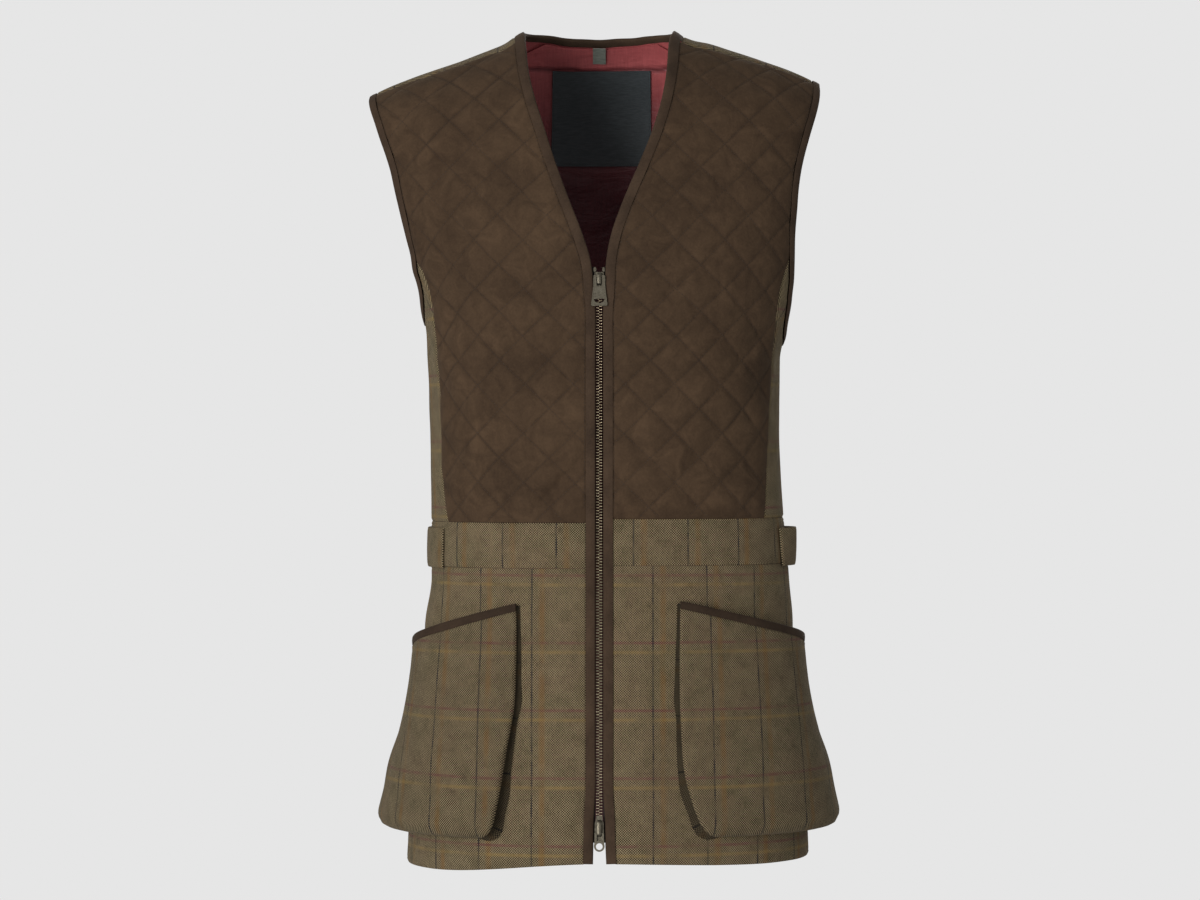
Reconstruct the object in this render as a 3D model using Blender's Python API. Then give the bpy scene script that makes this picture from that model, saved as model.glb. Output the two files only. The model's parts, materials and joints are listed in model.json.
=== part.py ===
# A sleeveless shooting vest as it hangs filled out: quilted suede upper fronts, a tweed back,
# waistband and skirt, two bellows pockets, bound edges and a two-way metal zip.
# Metres, +Z up. The front faces -Y, the wearer's left is +X, and the origin is at the shoulders' height.
import math
from collections import namedtuple

import bmesh
import bpy
import numpy as np
from mathutils import Matrix, Vector
from mathutils.geometry import delaunay_2d_cdt

for old in list(bpy.data.objects):
    bpy.data.objects.remove(old)

LEFT, RIGHT = 1, -1  # the wearer's sides, as signs of x
side_name = {LEFT: "left", RIGHT: "right"}

cloth_wall = 0.0022
seam_gap = 0.0003
binding_width = 0.0082
quilt_width = 0.046
quilt_height = 0.044
quilt_rise = 0.0019
lining_out = -0.0043
lining_wall = 0.0010
lining_spacing = 0.0315  # of the points inside the back and on its lining
lining_drop = 0.012  # the lining stops this far below the shoulders' ridge
lining_hem = 0.014
lining_turn = math.radians(100)  # where the lining stops at the sides
patch_wall = 0.0006
patch_spacing = 0.0165
hem_height = -0.7575
waist_top = {RIGHT: -0.4535, LEFT: -0.4500}
waist_bottom = {RIGHT: -0.4945, LEFT: -0.4920}
section_power = 2.4  # of the horizontal sections: 2 is an ellipse, more is squarer

# Half widths on each side and depths to front and back of the horizontal section at each height.
# Above the underarm the widths are those that the armhole edges need.
Section = namedtuple("Section", "height right left front back")
sections = (
    Section(-0.030, 0.2360, 0.2260, 0.098, 0.104),
    Section(-0.060, 0.2350, 0.2250, 0.100, 0.108),
    Section(-0.120, 0.2190, 0.2100, 0.108, 0.117),
    Section(-0.190, 0.1920, 0.1945, 0.121, 0.124),
    Section(-0.225, 0.1780, 0.1890, 0.125, 0.124),
    Section(-0.250, 0.1680, 0.1845, 0.127, 0.122),
    Section(-0.282, 0.1602, 0.1722, 0.126, 0.119),
    Section(-0.304, 0.1593, 0.1675, 0.125, 0.117),
    Section(-0.360, 0.1574, 0.1671, 0.121, 0.111),
    Section(-0.450, 0.1562, 0.1712, 0.115, 0.103),
    Section(-0.505, 0.1560, 0.1760, 0.118, 0.106),
    Section(-0.550, 0.1620, 0.1792, 0.123, 0.112),
    Section(-0.600, 0.1624, 0.1794, 0.1275, 0.117),
    Section(-0.650, 0.1662, 0.1832, 0.132, 0.122),
    Section(-0.690, 0.1735, 0.1903, 0.135, 0.125),
    Section(-0.760, 0.1780, 0.1948, 0.140, 0.130),
)

# Height of the shoulder ridge at each distance from the centre line.
Ridge = namedtuple("Ridge", "distance right left")
ridges = (
    Ridge(0.000, 0.0200, 0.0205),
    Ridge(0.030, 0.0165, 0.0175),
    Ridge(0.055, 0.0085, 0.0100),
    Ridge(0.070, 0.0010, 0.0010),
    Ridge(0.078, -0.0035, -0.0042),
    Ridge(0.088, -0.0105, -0.0080),
    Ridge(0.100, -0.0155, -0.0105),
    Ridge(0.125, -0.0255, -0.0185),
    Ridge(0.150, -0.0345, -0.0265),
    Ridge(0.175, -0.0435, -0.0350),
    Ridge(0.200, -0.0535, -0.0462),
    Ridge(0.214, -0.0602, -0.0540),
)
cap_at_neck, cap_at_tip = 0.110, 0.058  # height over which the shoulder rounds off

# Distance from the centre line of the fronts' free edges: V-neck, zip and the slit at the hem.
Edge = namedtuple("Edge", "height right left")
front_edges = (
    Edge(0.000, 0.0700, 0.0690),
    Edge(-0.010, 0.0685, 0.0650),
    Edge(-0.042, 0.0645, 0.0617),
    Edge(-0.070, 0.0580, 0.0565),
    Edge(-0.098, 0.0492, 0.0483),
    Edge(-0.127, 0.0400, 0.0369),
    Edge(-0.162, 0.0273, 0.0220),
    Edge(-0.200, 0.0130, 0.0092),
    Edge(-0.224, 0.0066, 0.0056),
    Edge(-0.243, 0.0050, 0.0048),
    Edge(-0.262, 0.0038, 0.0038),
    Edge(-0.704, 0.0038, 0.0038),
    Edge(-0.713, 0.0050, 0.0050),
    Edge(-0.740, 0.0052, 0.0054),
    Edge(-0.758, 0.0056, 0.0062),
)
armhole_edges = (
    Edge(-0.048, 0.2134, 0.2045),
    Edge(-0.060, 0.2132, 0.2040),
    Edge(-0.070, 0.2125, 0.2020),
    Edge(-0.082, 0.2084, 0.1988),
    Edge(-0.105, 0.2006, 0.1917),
    Edge(-0.128, 0.1926, 0.1858),
    Edge(-0.151, 0.1870, 0.1820),
    Edge(-0.173, 0.1815, 0.1801),
    Edge(-0.195, 0.1760, 0.1786),
    Edge(-0.225, 0.1700, 0.1783),
    Edge(-0.300, 0.1690, 0.1780),
)
armhole_bottom = {RIGHT: -0.2635, LEFT: -0.2820}
armhole_turn = {RIGHT: -0.2250, LEFT: -0.2350}  # where the edge starts its turn under the arm
armhole_back_inset = 0.005
shoulder_tip = {RIGHT: 0.2134, LEFT: 0.2045}
side_seams = (
    Edge(-0.4540, 0.1380, 0.1505),
    Edge(-0.410, 0.1442, 0.1540),
    Edge(-0.350, 0.1460, 0.1565),
    Edge(-0.300, 0.1475, 0.1590),
    Edge(-0.275, 0.1508, 0.1612),
    Edge(-0.250, 0.1535, 0.1638),
    Edge(-0.235, 0.1572, 0.1668),
    Edge(-0.219, 0.1655, 0.1722),
    Edge(-0.200, 0.1800, 0.1780),
)
# How far the shoulder seam lies below the ridge on the front.
Drop = namedtuple("Drop", "distance drop")
shoulder_drops = (Drop(0.060, 0.0120), Drop(0.090, 0.0090), Drop(0.130, 0.0070), Drop(0.214, 0.0030))
Neck = namedtuple("Neck", "distance height")
neck_edges = (Neck(0.000, 0.0003), Neck(0.030, 0.0008), Neck(0.046, 0.0018), Neck(0.0700, 0.0010))

# Soft folds: a line from one angle and height to another, its half width and how far it stands out.
Fold = namedtuple("Fold", "angle1 height1 angle2 height2 width rise")
folds = (
    Fold(-66, -0.30, -30, -0.37, 0.016, 0.0025),
    Fold(-62, -0.36, -18, -0.44, 0.014, 0.0022),
    Fold(-34, -0.45, -8, -0.40, 0.009, -0.0030),
    Fold(60, -0.31, 30, -0.40, 0.016, 0.0022),
    Fold(64, -0.40, 34, -0.44, 0.012, -0.0016),
    Fold(-15, -0.56, -13, -0.75, 0.016, 0.0026),
    Fold(14, -0.58, 17, -0.75, 0.016, 0.0028),
    Fold(150, -0.30, 172, -0.44, 0.022, 0.0035),
    Fold(-148, -0.28, -174, -0.42, 0.022, 0.0032),
    Fold(165, -0.52, 160, -0.75, 0.024, 0.0045),
    Fold(-166, -0.52, -158, -0.75, 0.024, 0.0045),
    Fold(176, -0.10, 140, -0.16, 0.020, 0.0022),
)
fold_radius = 0.14  # turns a fold's angles into lengths


def curve_through(rows, key, value, level_start=False):
    """A smooth function through the named columns of a table, with no overshoot."""
    rows = sorted(rows, key=lambda row: getattr(row, key))
    knots = np.array([getattr(row, key) for row in rows])
    values = np.array([getattr(row, value) for row in rows])
    steps = np.diff(knots)
    slopes = np.diff(values) / steps
    tangents = np.concatenate([slopes[:1], np.zeros(len(knots) - 2), slopes[-1:]])
    if level_start:
        tangents[0] = 0.0
    for i in range(1, len(knots) - 1):
        before, after = slopes[i - 1], slopes[i]
        if before * after > 0:
            tangents[i] = 2 * before * after / (before + after)

    def at(x):
        x = np.clip(np.asarray(x, float), knots[0], knots[-1])
        k = np.clip(np.searchsorted(knots, x) - 1, 0, len(steps) - 1)
        t = (x - knots[k]) / steps[k]
        rise = t * t * (3 - 2 * t)
        bend = t * (1 - t) ** 2 * tangents[k] - t * t * (1 - t) * tangents[k + 1]
        return values[k] + (values[k + 1] - values[k]) * rise + bend * steps[k]

    return at


def by_side(rows, key, level_start=False):
    return {side: curve_through(rows, key, side_name[side], level_start) for side in (LEFT, RIGHT)}


half_width = by_side(sections, "height")
front_depth = curve_through(sections, "height", "front")
back_depth = curve_through(sections, "height", "back")
ridge_height = by_side(ridges, "distance", level_start=True)
front_edge = by_side(front_edges, "height")
armhole_edge = by_side(armhole_edges, "height")
side_seam = by_side(side_seams, "height")
shoulder_drop = curve_through(shoulder_drops, "distance", "drop")
neck_height = curve_through(neck_edges, "distance", "height", level_start=True)

# A point of the garment has an angle, from the front centre round each side to the back centre, and
# a level. The level is the height, but over a shoulder's cap it goes on as the way over the cap does.
cap_stretch = math.pi / 2 - 1


def cap_height(distance):
    share = np.clip((distance - 0.07) / 0.14, 0, 1)
    return cap_at_neck + (cap_at_tip - cap_at_neck) * share


def for_side(side, functions, value):
    return np.where(side > 0, functions[LEFT](value), functions[RIGHT](value))


def skin(angle, level):
    """Points of the garment's bare outer surface."""
    angle, level = np.broadcast_arrays(np.asarray(angle, float), np.asarray(level, float))
    side = np.where(angle < 0, RIGHT, LEFT)
    turn = np.abs(angle)
    width = for_side(side, half_width, level)
    front, back = front_depth(level), back_depth(level)
    depth = np.where(turn < math.pi / 2, front, back)
    sine, cosine = np.sin(turn), np.cos(turn)
    across = (np.abs(sine) / width) ** section_power
    along = (np.abs(cosine) / depth) ** section_power
    reach = (across + along) ** (-1 / section_power)
    x, y = reach * sine, -reach * cosine
    top, cap = for_side(side, ridge_height, np.abs(x)), cap_height(np.abs(x))
    way = (top + cap_stretch * cap - level) / cap
    on_cap = way < math.pi / 2
    z = np.where(on_cap, top - cap * (1 - np.cos(way)), level)
    y = np.where(on_cap, y * np.sin(way), y)
    y = np.where((way < 0) & (turn > math.pi / 2), y * front / back, y)
    return np.stack([side * x, y, z], axis=-1)


def fold_rise(angle, level):
    total = np.zeros(np.broadcast(angle, level).shape)
    for fold in folds:
        start = np.array([math.radians(fold.angle1) * fold_radius, fold.height1])
        end = np.array([math.radians(fold.angle2) * fold_radius, fold.height2])
        line = end - start
        p = np.stack(np.broadcast_arrays(angle * fold_radius - start[0], level - start[1]), axis=-1)
        share = np.clip((p @ line) / (line @ line), 0, 1)
        away = np.linalg.norm(p - share[..., None] * line, axis=-1)
        taper = 0.35 + 0.65 * np.sin(math.pi * np.clip(share, 0.06, 0.94))
        total = total + fold.rise * taper * np.exp(-((away / fold.width) ** 2))
    return total


def place(angle, level, out):
    """Points that lie out from the surface, along its normal, with the folds added."""
    angle, level, out = (np.asarray(v, float) for v in (angle, level, out))
    step = 1e-4
    across = skin(angle + step, level) - skin(angle - step, level)
    up = skin(angle, level + step) - skin(angle, level - step)
    normal = np.cross(across, up)
    normal /= np.linalg.norm(normal, axis=-1, keepdims=True)
    return skin(angle, level) + normal * (out + fold_rise(angle, level))[..., None]


def height_at(side, distance, level):
    cap, top = cap_height(distance), ridge_height[side](distance)
    way = (top + cap_stretch * cap - level) / cap
    return np.where(way < math.pi / 2, top - cap * (1 - np.cos(way)), level)


def level_at(side, distance, height, behind=False):
    """The level of a height; behind is for the far side of the ridge."""
    cap, top = cap_height(distance), ridge_height[side](distance)
    below = np.clip((top - height) / cap, 0, None)
    way = np.arccos(np.clip(1 - below, -1, 1)) * (-1 if behind else 1)
    return np.where(below < 1, top + cap_stretch * cap - way * cap, height)


# Arc length along each side's section, from the front centre.
level_rows = np.linspace(-0.80, 0.20, 126)
turn_steps = np.linspace(0, math.pi, 181)


def arc_rows(side):
    turns, levels = np.meshgrid(turn_steps, level_rows)
    width = half_width[side](levels)
    depth = np.where(turns < math.pi / 2, front_depth(levels), back_depth(levels))
    sine, cosine = np.sin(turns), np.abs(np.cos(turns))
    reach = ((sine / width) ** section_power + (cosine / depth) ** section_power) ** (-1 / section_power)
    x, y = reach * sine, -reach * np.cos(turns)
    runs = np.hypot(np.diff(x, axis=1), np.diff(y, axis=1))
    return np.concatenate([np.zeros((len(level_rows), 1)), np.cumsum(runs, axis=1)], axis=1)


arcs = {side: arc_rows(side) for side in (LEFT, RIGHT)}


def between_rows(level):
    row = np.clip((level - level_rows[0]) / (level_rows[1] - level_rows[0]), 0, len(level_rows) - 1.001)
    low = int(row)
    return low, row - low


def arc_of(side, turn, level):
    low, share = between_rows(level)
    found = [np.interp(turn, turn_steps, arcs[side][low + i]) for i in (0, 1)]
    return found[0] * (1 - share) + found[1] * share


def turn_of(side, arc, level):
    low, share = between_rows(level)
    found = [np.interp(arc, arcs[side][low + i], turn_steps) for i in (0, 1)]
    return found[0] * (1 - share) + found[1] * share


def half_girth(side, level):
    low, share = between_rows(level)
    return arcs[side][low][-1] * (1 - share) + arcs[side][low + 1][-1] * share


def turn_at(side, distance, level, back=False):
    """The turn from the front centre to a distance from the centre line."""
    depth = back_depth(level) if back else front_depth(level)
    share = np.clip(distance / half_width[side](level), 0, 1)
    turn = math.atan2(distance, depth * (1 - share**section_power) ** (1 / section_power))
    return math.pi - turn if back else turn


# A pattern piece is drawn flat, as (run, level). On the front the run is the arc length from the
# front centre, away from it. On the back it is the signed arc length from the back centre.
def front_chart(side):
    def angles(flat):
        return np.array([side * turn_of(side, run, level) for run, level in flat])

    return angles


def back_chart(flat):
    found = []
    for run, level in flat:
        side = LEFT if run >= 0 else RIGHT
        found.append(side * turn_of(side, half_girth(side, level) - abs(run), level))
    return np.array(found)


def to_back(side, flat):
    """Front runs of one side turned into back runs."""
    return np.array([(side * (half_girth(side, level) - run), level) for run, level in flat])


def edge_flat(side, edge, level, back=False, inset=0.0):
    """The flat point on an edge table's curve at a level."""
    distance = 0.07 if edge is front_edge else 0.2
    for _ in range(12):
        distance = float(edge[side](height_at(side, distance, level))) - inset
    return arc_of(side, turn_at(side, distance, level, back), level), level


def offset(line, distance):
    """A polyline moved to its left by a distance, point by point."""
    line = np.asarray(line, float)
    along = np.gradient(line, axis=0)
    along /= np.linalg.norm(along, axis=1, keepdims=True)
    return line + distance * np.stack([-along[:, 1], along[:, 0]], axis=1)


def crossing(a, b, c, d):
    """Where segment ab meets segment cd, as shares of each, or None."""
    r, s = b - a, d - c
    det = r[0] * s[1] - r[1] * s[0]
    if abs(det) < 1e-18:
        return None
    t = ((c - a)[0] * s[1] - (c - a)[1] * s[0]) / det
    u = ((c - a)[0] * r[1] - (c - a)[1] * r[0]) / det
    return (t, u) if -1e-9 <= t <= 1 + 1e-9 and -1e-9 <= u <= 1 + 1e-9 else None


def outline_of(lines):
    """One closed outline from lines that each run a little past their corners, in order."""
    lines = [np.asarray(line, float) for line in lines]
    starts = [None] * len(lines)
    ends = [None] * len(lines)
    for k, first in enumerate(lines):
        after = (k + 1) % len(lines)
        second = lines[after]
        for i in range(len(first) - 2, -1, -1):
            for j in range(len(second) - 1):
                met = crossing(first[i], first[i + 1], second[j], second[j + 1])
                if met and ends[k] is None:
                    corner = first[i] + met[0] * (first[i + 1] - first[i])
                    ends[k] = (i, corner)
                    starts[after] = (j + 1, corner)
    if None in ends:
        raise ValueError(f"line {ends.index(None)} misses the next one")
    points = []
    for k, line in enumerate(lines):
        first, corner = starts[k]
        points.append(corner)
        points.extend(line[first : ends[k][0] + 1])
    kept = [p for i, p in enumerate(points) if np.linalg.norm(p - points[i - 1]) > 4e-4]
    return np.array(kept)


def inside(outline, points, margin):
    """Which points lie inside an outline, further from it than a margin."""
    a, b = outline, np.roll(outline, -1, axis=0)
    x, y = points[:, None, 0], points[:, None, 1]
    spans = (a[:, 1] > y) != (b[:, 1] > y)
    rise = np.where(b[:, 1] == a[:, 1], 1.0, b[:, 1] - a[:, 1])
    hits = spans & (x < (b[:, 0] - a[:, 0]) * (y - a[:, 1]) / rise + a[:, 0])
    line = b - a
    share = np.einsum("pij,ij->pi", points[:, None] - a, line) / np.einsum("ij,ij->i", line, line)
    near = a + np.clip(share, 0, 1)[..., None] * line
    away = np.linalg.norm(points[:, None] - near, axis=-1).min(axis=1)
    return (hits.sum(axis=1) % 2 == 1) & (away > margin)


def staggered(outline, spacing, margin=0.45):
    """Staggered points at a spacing, on one grid for every piece."""
    low, high = outline.min(axis=0), outline.max(axis=0)
    rise = spacing * 0.8
    rows = np.arange(math.floor(low[1] / rise), math.ceil(high[1] / rise) + 1)
    found = []
    for row in rows:
        shift = 0.5 * (row % 2)
        steps = np.arange(math.floor(low[0] / spacing) - 1, math.ceil(high[0] / spacing) + 1)
        found.extend(((step + shift) * spacing, row * rise) for step in steps)
    found = np.array(found)
    return found[inside(outline, found, spacing * margin)], []


def quilted(outline, parts=3):
    """Points on the quilting's crossed diagonals and between them, and the diagonals as creases."""
    low, high = outline.min(axis=0), outline.max(axis=0)
    p_most = parts * (high[0] / quilt_width + high[1] / quilt_height)
    p_least = parts * (low[0] / quilt_width + low[1] / quilt_height)
    q_most = parts * (high[0] / quilt_width - low[1] / quilt_height)
    q_least = parts * (low[0] / quilt_width - high[1] / quilt_height)
    cells = [
        (p, q)
        for p in range(math.floor(p_least), math.ceil(p_most) + 1)
        for q in range(math.floor(q_least), math.ceil(q_most) + 1)
    ]
    flat = np.array(
        [(quilt_width * (p + q) / (2 * parts), quilt_height * (p - q) / (2 * parts)) for p, q in cells]
    )
    kept = inside(outline, flat, 0.0042)
    number = {cell: None for cell in cells}
    points = []
    for cell, point, keep in zip(cells, flat, kept):
        if keep:
            number[cell] = len(points)
            points.append(point)
    creases = []
    for p, q in cells:
        for along, onward in (((p, q), (p, q + 1)), ((p, q), (p + 1, q))):
            on_line = p % parts == 0 if along[0] == onward[0] else q % parts == 0
            if on_line and number[along] is not None and number.get(onward) is not None:
                creases.append((number[along], number[onward]))
    return np.array(points), creases


def quilt_height_at(flat):
    p = flat[:, 0] / quilt_width + flat[:, 1] / quilt_height
    q = flat[:, 0] / quilt_width - flat[:, 1] / quilt_height
    return quilt_rise * np.sqrt(np.abs(np.sin(math.pi * p) * np.sin(math.pi * q)))


def filled(outline, points, creases):
    """Flat points and triangles that fill an outline; the outline's points come first."""
    count = len(outline)
    flat = np.concatenate([outline, points]) if len(points) else outline
    edges = [(i, (i + 1) % count) for i in range(count)]
    edges += [(count + a, count + b) for a, b in creases]
    verts, _, faces, origins, _, _ = delaunay_2d_cdt([Vector(p) for p in flat], edges, [], 1, 1e-7)
    number = [min(origin) if origin else None for origin in origins]
    if len(verts) != len(flat) or None in number:
        raise ValueError("an outline crosses itself")
    return flat, [tuple(number[i] for i in face) for face in faces]


collection = bpy.data.collections.new("shooting_vest")
cutters = bpy.data.collections.new("shooting_vest_cutters")
for made_collection in (collection, cutters):
    bpy.context.scene.collection.children.link(made_collection)


def material(name, colour, roughness, metallic=0.0):
    made = bpy.data.materials.new(name)
    made.use_nodes = True
    shader = made.node_tree.nodes["Principled BSDF"]
    shader.inputs["Base Color"].default_value = (*colour, 1.0)
    shader.inputs["Roughness"].default_value = roughness
    shader.inputs["Metallic"].default_value = metallic
    return made


def suede(name):
    return material(name, (0.060, 0.038, 0.023), 0.92)


def binding_suede(name):
    return material(name, (0.040, 0.024, 0.015), 0.85)


def tweed(name):
    return material(name, (0.125, 0.100, 0.055), 0.95)


def lining(name):
    return material(name, (0.150, 0.018, 0.026), 0.45)


def brass(name):
    return material(name, (0.330, 0.270, 0.160), 0.38, 1.0)


def add_object(name, mesh, finish):
    made = bpy.data.objects.new(name, mesh)
    mesh.materials.append(finish(name + "_finish"))
    collection.objects.link(made)
    return made


def add_bmesh(name, bm, finish, smooth=True):
    bmesh.ops.recalc_face_normals(bm, faces=bm.faces)
    mesh = bpy.data.meshes.new(name)
    bm.to_mesh(mesh)
    bm.free()
    if smooth:
        mesh.shade_smooth()
        mesh.set_sharp_from_angle(angle=math.radians(40))
    return add_object(name, mesh, finish)


def make_wall(name, finish, outline, chart, outer, inner, spacing, inner_spacing=None, quilt=False):
    """A cloth wall over an outline. outer and inner say how far out each side of it lies."""
    points, creases = quilted(outline) if quilt else staggered(outline, spacing)
    front_flat_points, front_faces = filled(outline, points, creases)
    back_points = staggered(outline, inner_spacing or spacing)[0]
    back_flat_points, back_faces = filled(outline, back_points, [])
    bm = bmesh.new()
    layers = []
    fronts = (front_flat_points, front_faces, outer)
    for flat, faces, out in (fronts, (back_flat_points, back_faces, inner)):
        outs = out(flat) if callable(out) else np.full(len(flat), out)
        if quilt and out is outer:
            outs[: len(outline)] = 0.0
        verts = [bm.verts.new(p) for p in place(chart(flat), flat[:, 1], outs)]
        layers.append(verts)
        for face in faces:
            bm.faces.new([verts[i] for i in face])
    top, under = layers
    for i in range(len(outline)):
        j = (i + 1) % len(outline)
        bm.faces.new([top[i], top[j], under[j], under[i]])
    return add_bmesh(name, bm, finish)


def loft(name, finish, columns, closed=False, smooth=True):
    """A solid with a ring of points at each station; each column holds one corner of every ring."""
    bm = bmesh.new()
    columns = [[bm.verts.new(p) for p in column] for column in columns]
    count, sides = len(columns[0]), len(columns)
    for i in range(count if closed else count - 1):
        j = (i + 1) % count
        for k in range(sides):
            m = (k + 1) % sides
            bm.faces.new([columns[k][i], columns[m][i], columns[m][j], columns[k][j]])
    if not closed:
        bm.faces.new([column[0] for column in columns])
        bm.faces.new([column[-1] for column in reversed(columns)])
    return add_bmesh(name, bm, finish, smooth)


def make_ribbon(name, finish, free, inner, chart, profile, closed=False, base=0.0):
    """A strip along two matching flat lines. profile lists (share from inner to free, out)."""
    free, inner = np.asarray(free, float), np.asarray(inner, float)
    columns = []
    for share, out in profile:
        flat = inner + (free - inner) * share
        columns.append(place(chart(flat), flat[:, 1], np.broadcast_to(base + out, len(flat))))
    return loft(name, finish, columns, closed)


bound_profile = (
    (0.0, 0.0007),
    (0.55, 0.0010),
    (1.0, 0.0003),
    (1.0, -0.0024),
    (0.55, -0.0031),
    (0.0, -0.0029),
)

# Flat lines that the pieces share.
centre_levels = np.concatenate([
    [hem_height - 0.008],
    np.linspace(hem_height, -0.722, 3),
    np.linspace(-0.690, -0.262, 13),
    np.linspace(-0.243, -0.200, 4),
    np.linspace(-0.185, 0.035, 19),
])


def shoulder_level(side, distance, behind):
    height = ridge_height[side](distance) - shoulder_drop(distance)
    return float(level_at(side, distance, height, behind))


def shoulder_line(side, behind):
    """The shoulder seam as a flat line, from past the neck edge to past the armhole edge."""
    found = []
    for distance in np.concatenate([np.linspace(0.058, 0.100, 12), np.linspace(0.110, 0.222, 10)]):
        level = shoulder_level(side, distance, behind)
        arc = arc_of(side, turn_at(side, distance, level, behind), level)
        found.append((side * (half_girth(side, level) - arc), level) if behind else (arc, level))
    return np.array(found)


def armhole_top_level(side):
    """The level of the ridge at the armhole's edge."""
    distance = shoulder_tip[side]
    return float(ridge_height[side](distance) + cap_stretch * cap_height(distance))


def centre_line(side):
    """The free edge of one front, from the hem up to past the shoulder seam."""
    return np.array([edge_flat(side, front_edge, level) for level in centre_levels])


def armhole_line(side):
    """The armhole's edge from the ridge down the front, under the arm and up the back to the ridge."""
    top = armhole_top_level(side)
    turn, bottom = armhole_turn[side], armhole_bottom[side]
    levels = np.linspace(top, turn, 14)
    front = [edge_flat(side, armhole_edge, level) for level in levels]
    spread = np.clip((top - levels) / 0.06, 0, 1)
    back = [
        edge_flat(side, armhole_edge, level, True, armhole_back_inset * share * share * (3 - 2 * share))
        for level, share in zip(levels, spread)
    ]
    side_run = arc_of(side, math.pi / 2, turn)
    under = []
    for way in np.linspace(math.pi / 14, math.pi * 13 / 14, 13):
        level = turn - (turn - bottom) * math.sin(way)
        reach = (side_run - front[-1][0]) if way < math.pi / 2 else (back[-1][0] - side_run)
        run = arc_of(side, math.pi / 2, level) - reach * math.cos(way)
        under.append((run, level))
    return np.array(front + under + back[::-1])


def level_line(level, low, high, count):
    return np.array([(run, level) for run in np.linspace(low, high, count)])


half_gap = seam_gap / 2
armholes = {side: armhole_line(side) for side in (LEFT, RIGHT)}
centres = {side: centre_line(side) for side in (LEFT, RIGHT)}
armhole_insides = {side: offset(armholes[side], -binding_width) for side in (LEFT, RIGHT)}
armhole_cuts = {side: offset(armholes[side], -binding_width - seam_gap) for side in (LEFT, RIGHT)}
centre_insides = {side: offset(centres[side], -binding_width) for side in (LEFT, RIGHT)}
centre_cuts = {side: offset(centres[side], -binding_width - seam_gap) for side in (LEFT, RIGHT)}


def seam_line(side):
    """The side seam of the upper front, from past the waist up to past the armhole's edge."""
    levels = np.concatenate([[-0.470, -0.4540], np.linspace(-0.430, -0.206, 14)])
    return np.array([edge_flat(side, side_seam, level) for level in levels])


side_lines = {side: seam_line(side) for side in (LEFT, RIGHT)}
skirt_turn = math.radians(97)


def skirt_seam(side):
    """The side seam below the waist's top, a little behind the side."""
    levels = np.concatenate([
        np.linspace(hem_height - 0.01, waist_bottom[side] - 0.018, 13),
        np.linspace(waist_bottom[side], waist_top[side], 3),
        [-0.440],
    ])
    return np.array([(arc_of(side, skirt_turn, level), level) for level in levels])


skirt_lines = {side: skirt_seam(side) for side in (LEFT, RIGHT)}


def upper_front(side):
    waist = level_line(waist_top[side] + half_gap, 0.002, 0.22, 14)
    seam = offset(side_lines[side], half_gap)
    # Only the front half of the armhole's edge bounds this piece.
    arm = armhole_cuts[side][:22][::-1]
    shoulder = (shoulder_line(side, False) - (0, half_gap))[::-1]
    outline = outline_of([waist, seam, arm, shoulder, centre_cuts[side][::-1]])
    make_wall(
        "upper_front_" + side_name[side], suede, outline, front_chart(side),
        quilt_height_at, -cloth_wall, 0.018, 0.024, quilt=True,
    )


def front_band(side, name, low, high, spacing):
    bottom = level_line(low, 0.002, 0.35, 21)
    top = level_line(high, 0.002, 0.35, 21)[::-1]
    outline = outline_of([bottom, offset(skirt_lines[side], half_gap), top, centre_cuts[side][::-1]])
    make_wall(name + side_name[side], tweed, outline, front_chart(side), 0.0, -cloth_wall, spacing, 0.024)


def back_line(levels, rise):
    """A line across the back from right to left, at each side's own level."""
    runs = np.linspace(-0.36, 0.36, 33)
    share = np.clip(runs / 0.18, -1, 1) / 2 + 0.5
    return np.stack([runs, levels[RIGHT] + (levels[LEFT] - levels[RIGHT]) * share + rise], axis=1)


def back_upper():
    """The back above the waist, drawn flat from the back centre to both sides."""
    lines = [back_line(waist_top, half_gap)]
    lines.append(to_back(LEFT, offset(side_lines[LEFT], -half_gap)))
    lines.append(to_back(LEFT, back_arm(LEFT)))
    lines.append(shoulder_line(LEFT, True)[::-1] - (0, half_gap))
    lines.append(neck_cut())
    lines.append(shoulder_line(RIGHT, True) - (0, half_gap))
    lines.append(to_back(RIGHT, back_arm(RIGHT))[::-1])
    lines.append(to_back(RIGHT, offset(side_lines[RIGHT], -half_gap))[::-1])
    outline = outline_of(lines)
    make_wall("back_panel", tweed, outline, back_chart, 0.0, -cloth_wall, 0.0235, lining_spacing)


def back_arm(side):
    """The back panel's armhole cut: under the arm from the side seam, up the back and over the ridge."""
    cut = armhole_cuts[side]
    return np.concatenate([cut[9:-1], [over_ridge(side, cut[i]) for i in range(5)]])


def over_ridge(side, flat):
    """A front flat point just below the ridge, as the back's chart has it."""
    x, _, z = skin(side * turn_of(side, *flat), flat[1])
    level = float(level_at(side, abs(x), z, behind=True))
    return arc_of(side, turn_at(side, abs(x), level, back=True), level), level


neck_reach = 0.0690  # the back neck's half width, where it meets the shoulder seam
neck_rises = (0.010, 0.022, 0.034, 0.046, 0.058, 0.070)  # its points above that, up the shoulder
neck_turns = 8  # how often each of those is drawn closer to the fronts' edge


def neck_line():
    """The back neck's free edge as back runs, from one shoulder seam over the back to the other."""
    halves = {}
    for side in (LEFT, RIGHT):
        half = []
        for distance in np.linspace(0.0, neck_reach, 9):
            level = float(level_at(side, distance, neck_height(distance)))
            half.append((arc_of(side, turn_at(side, distance, level, True), level), level))
        top = half[-1][1]
        for rise in neck_rises:
            level = top + rise
            distance = neck_reach
            for _ in range(neck_turns):
                distance = float(front_edge[side](height_at(side, distance, level)))
            half.append((arc_of(side, turn_at(side, distance, level, True), level), level))
        halves[side] = to_back(side, half)
    return np.concatenate([halves[LEFT][::-1], halves[RIGHT][1:]])


neck_edge = neck_line()


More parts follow.
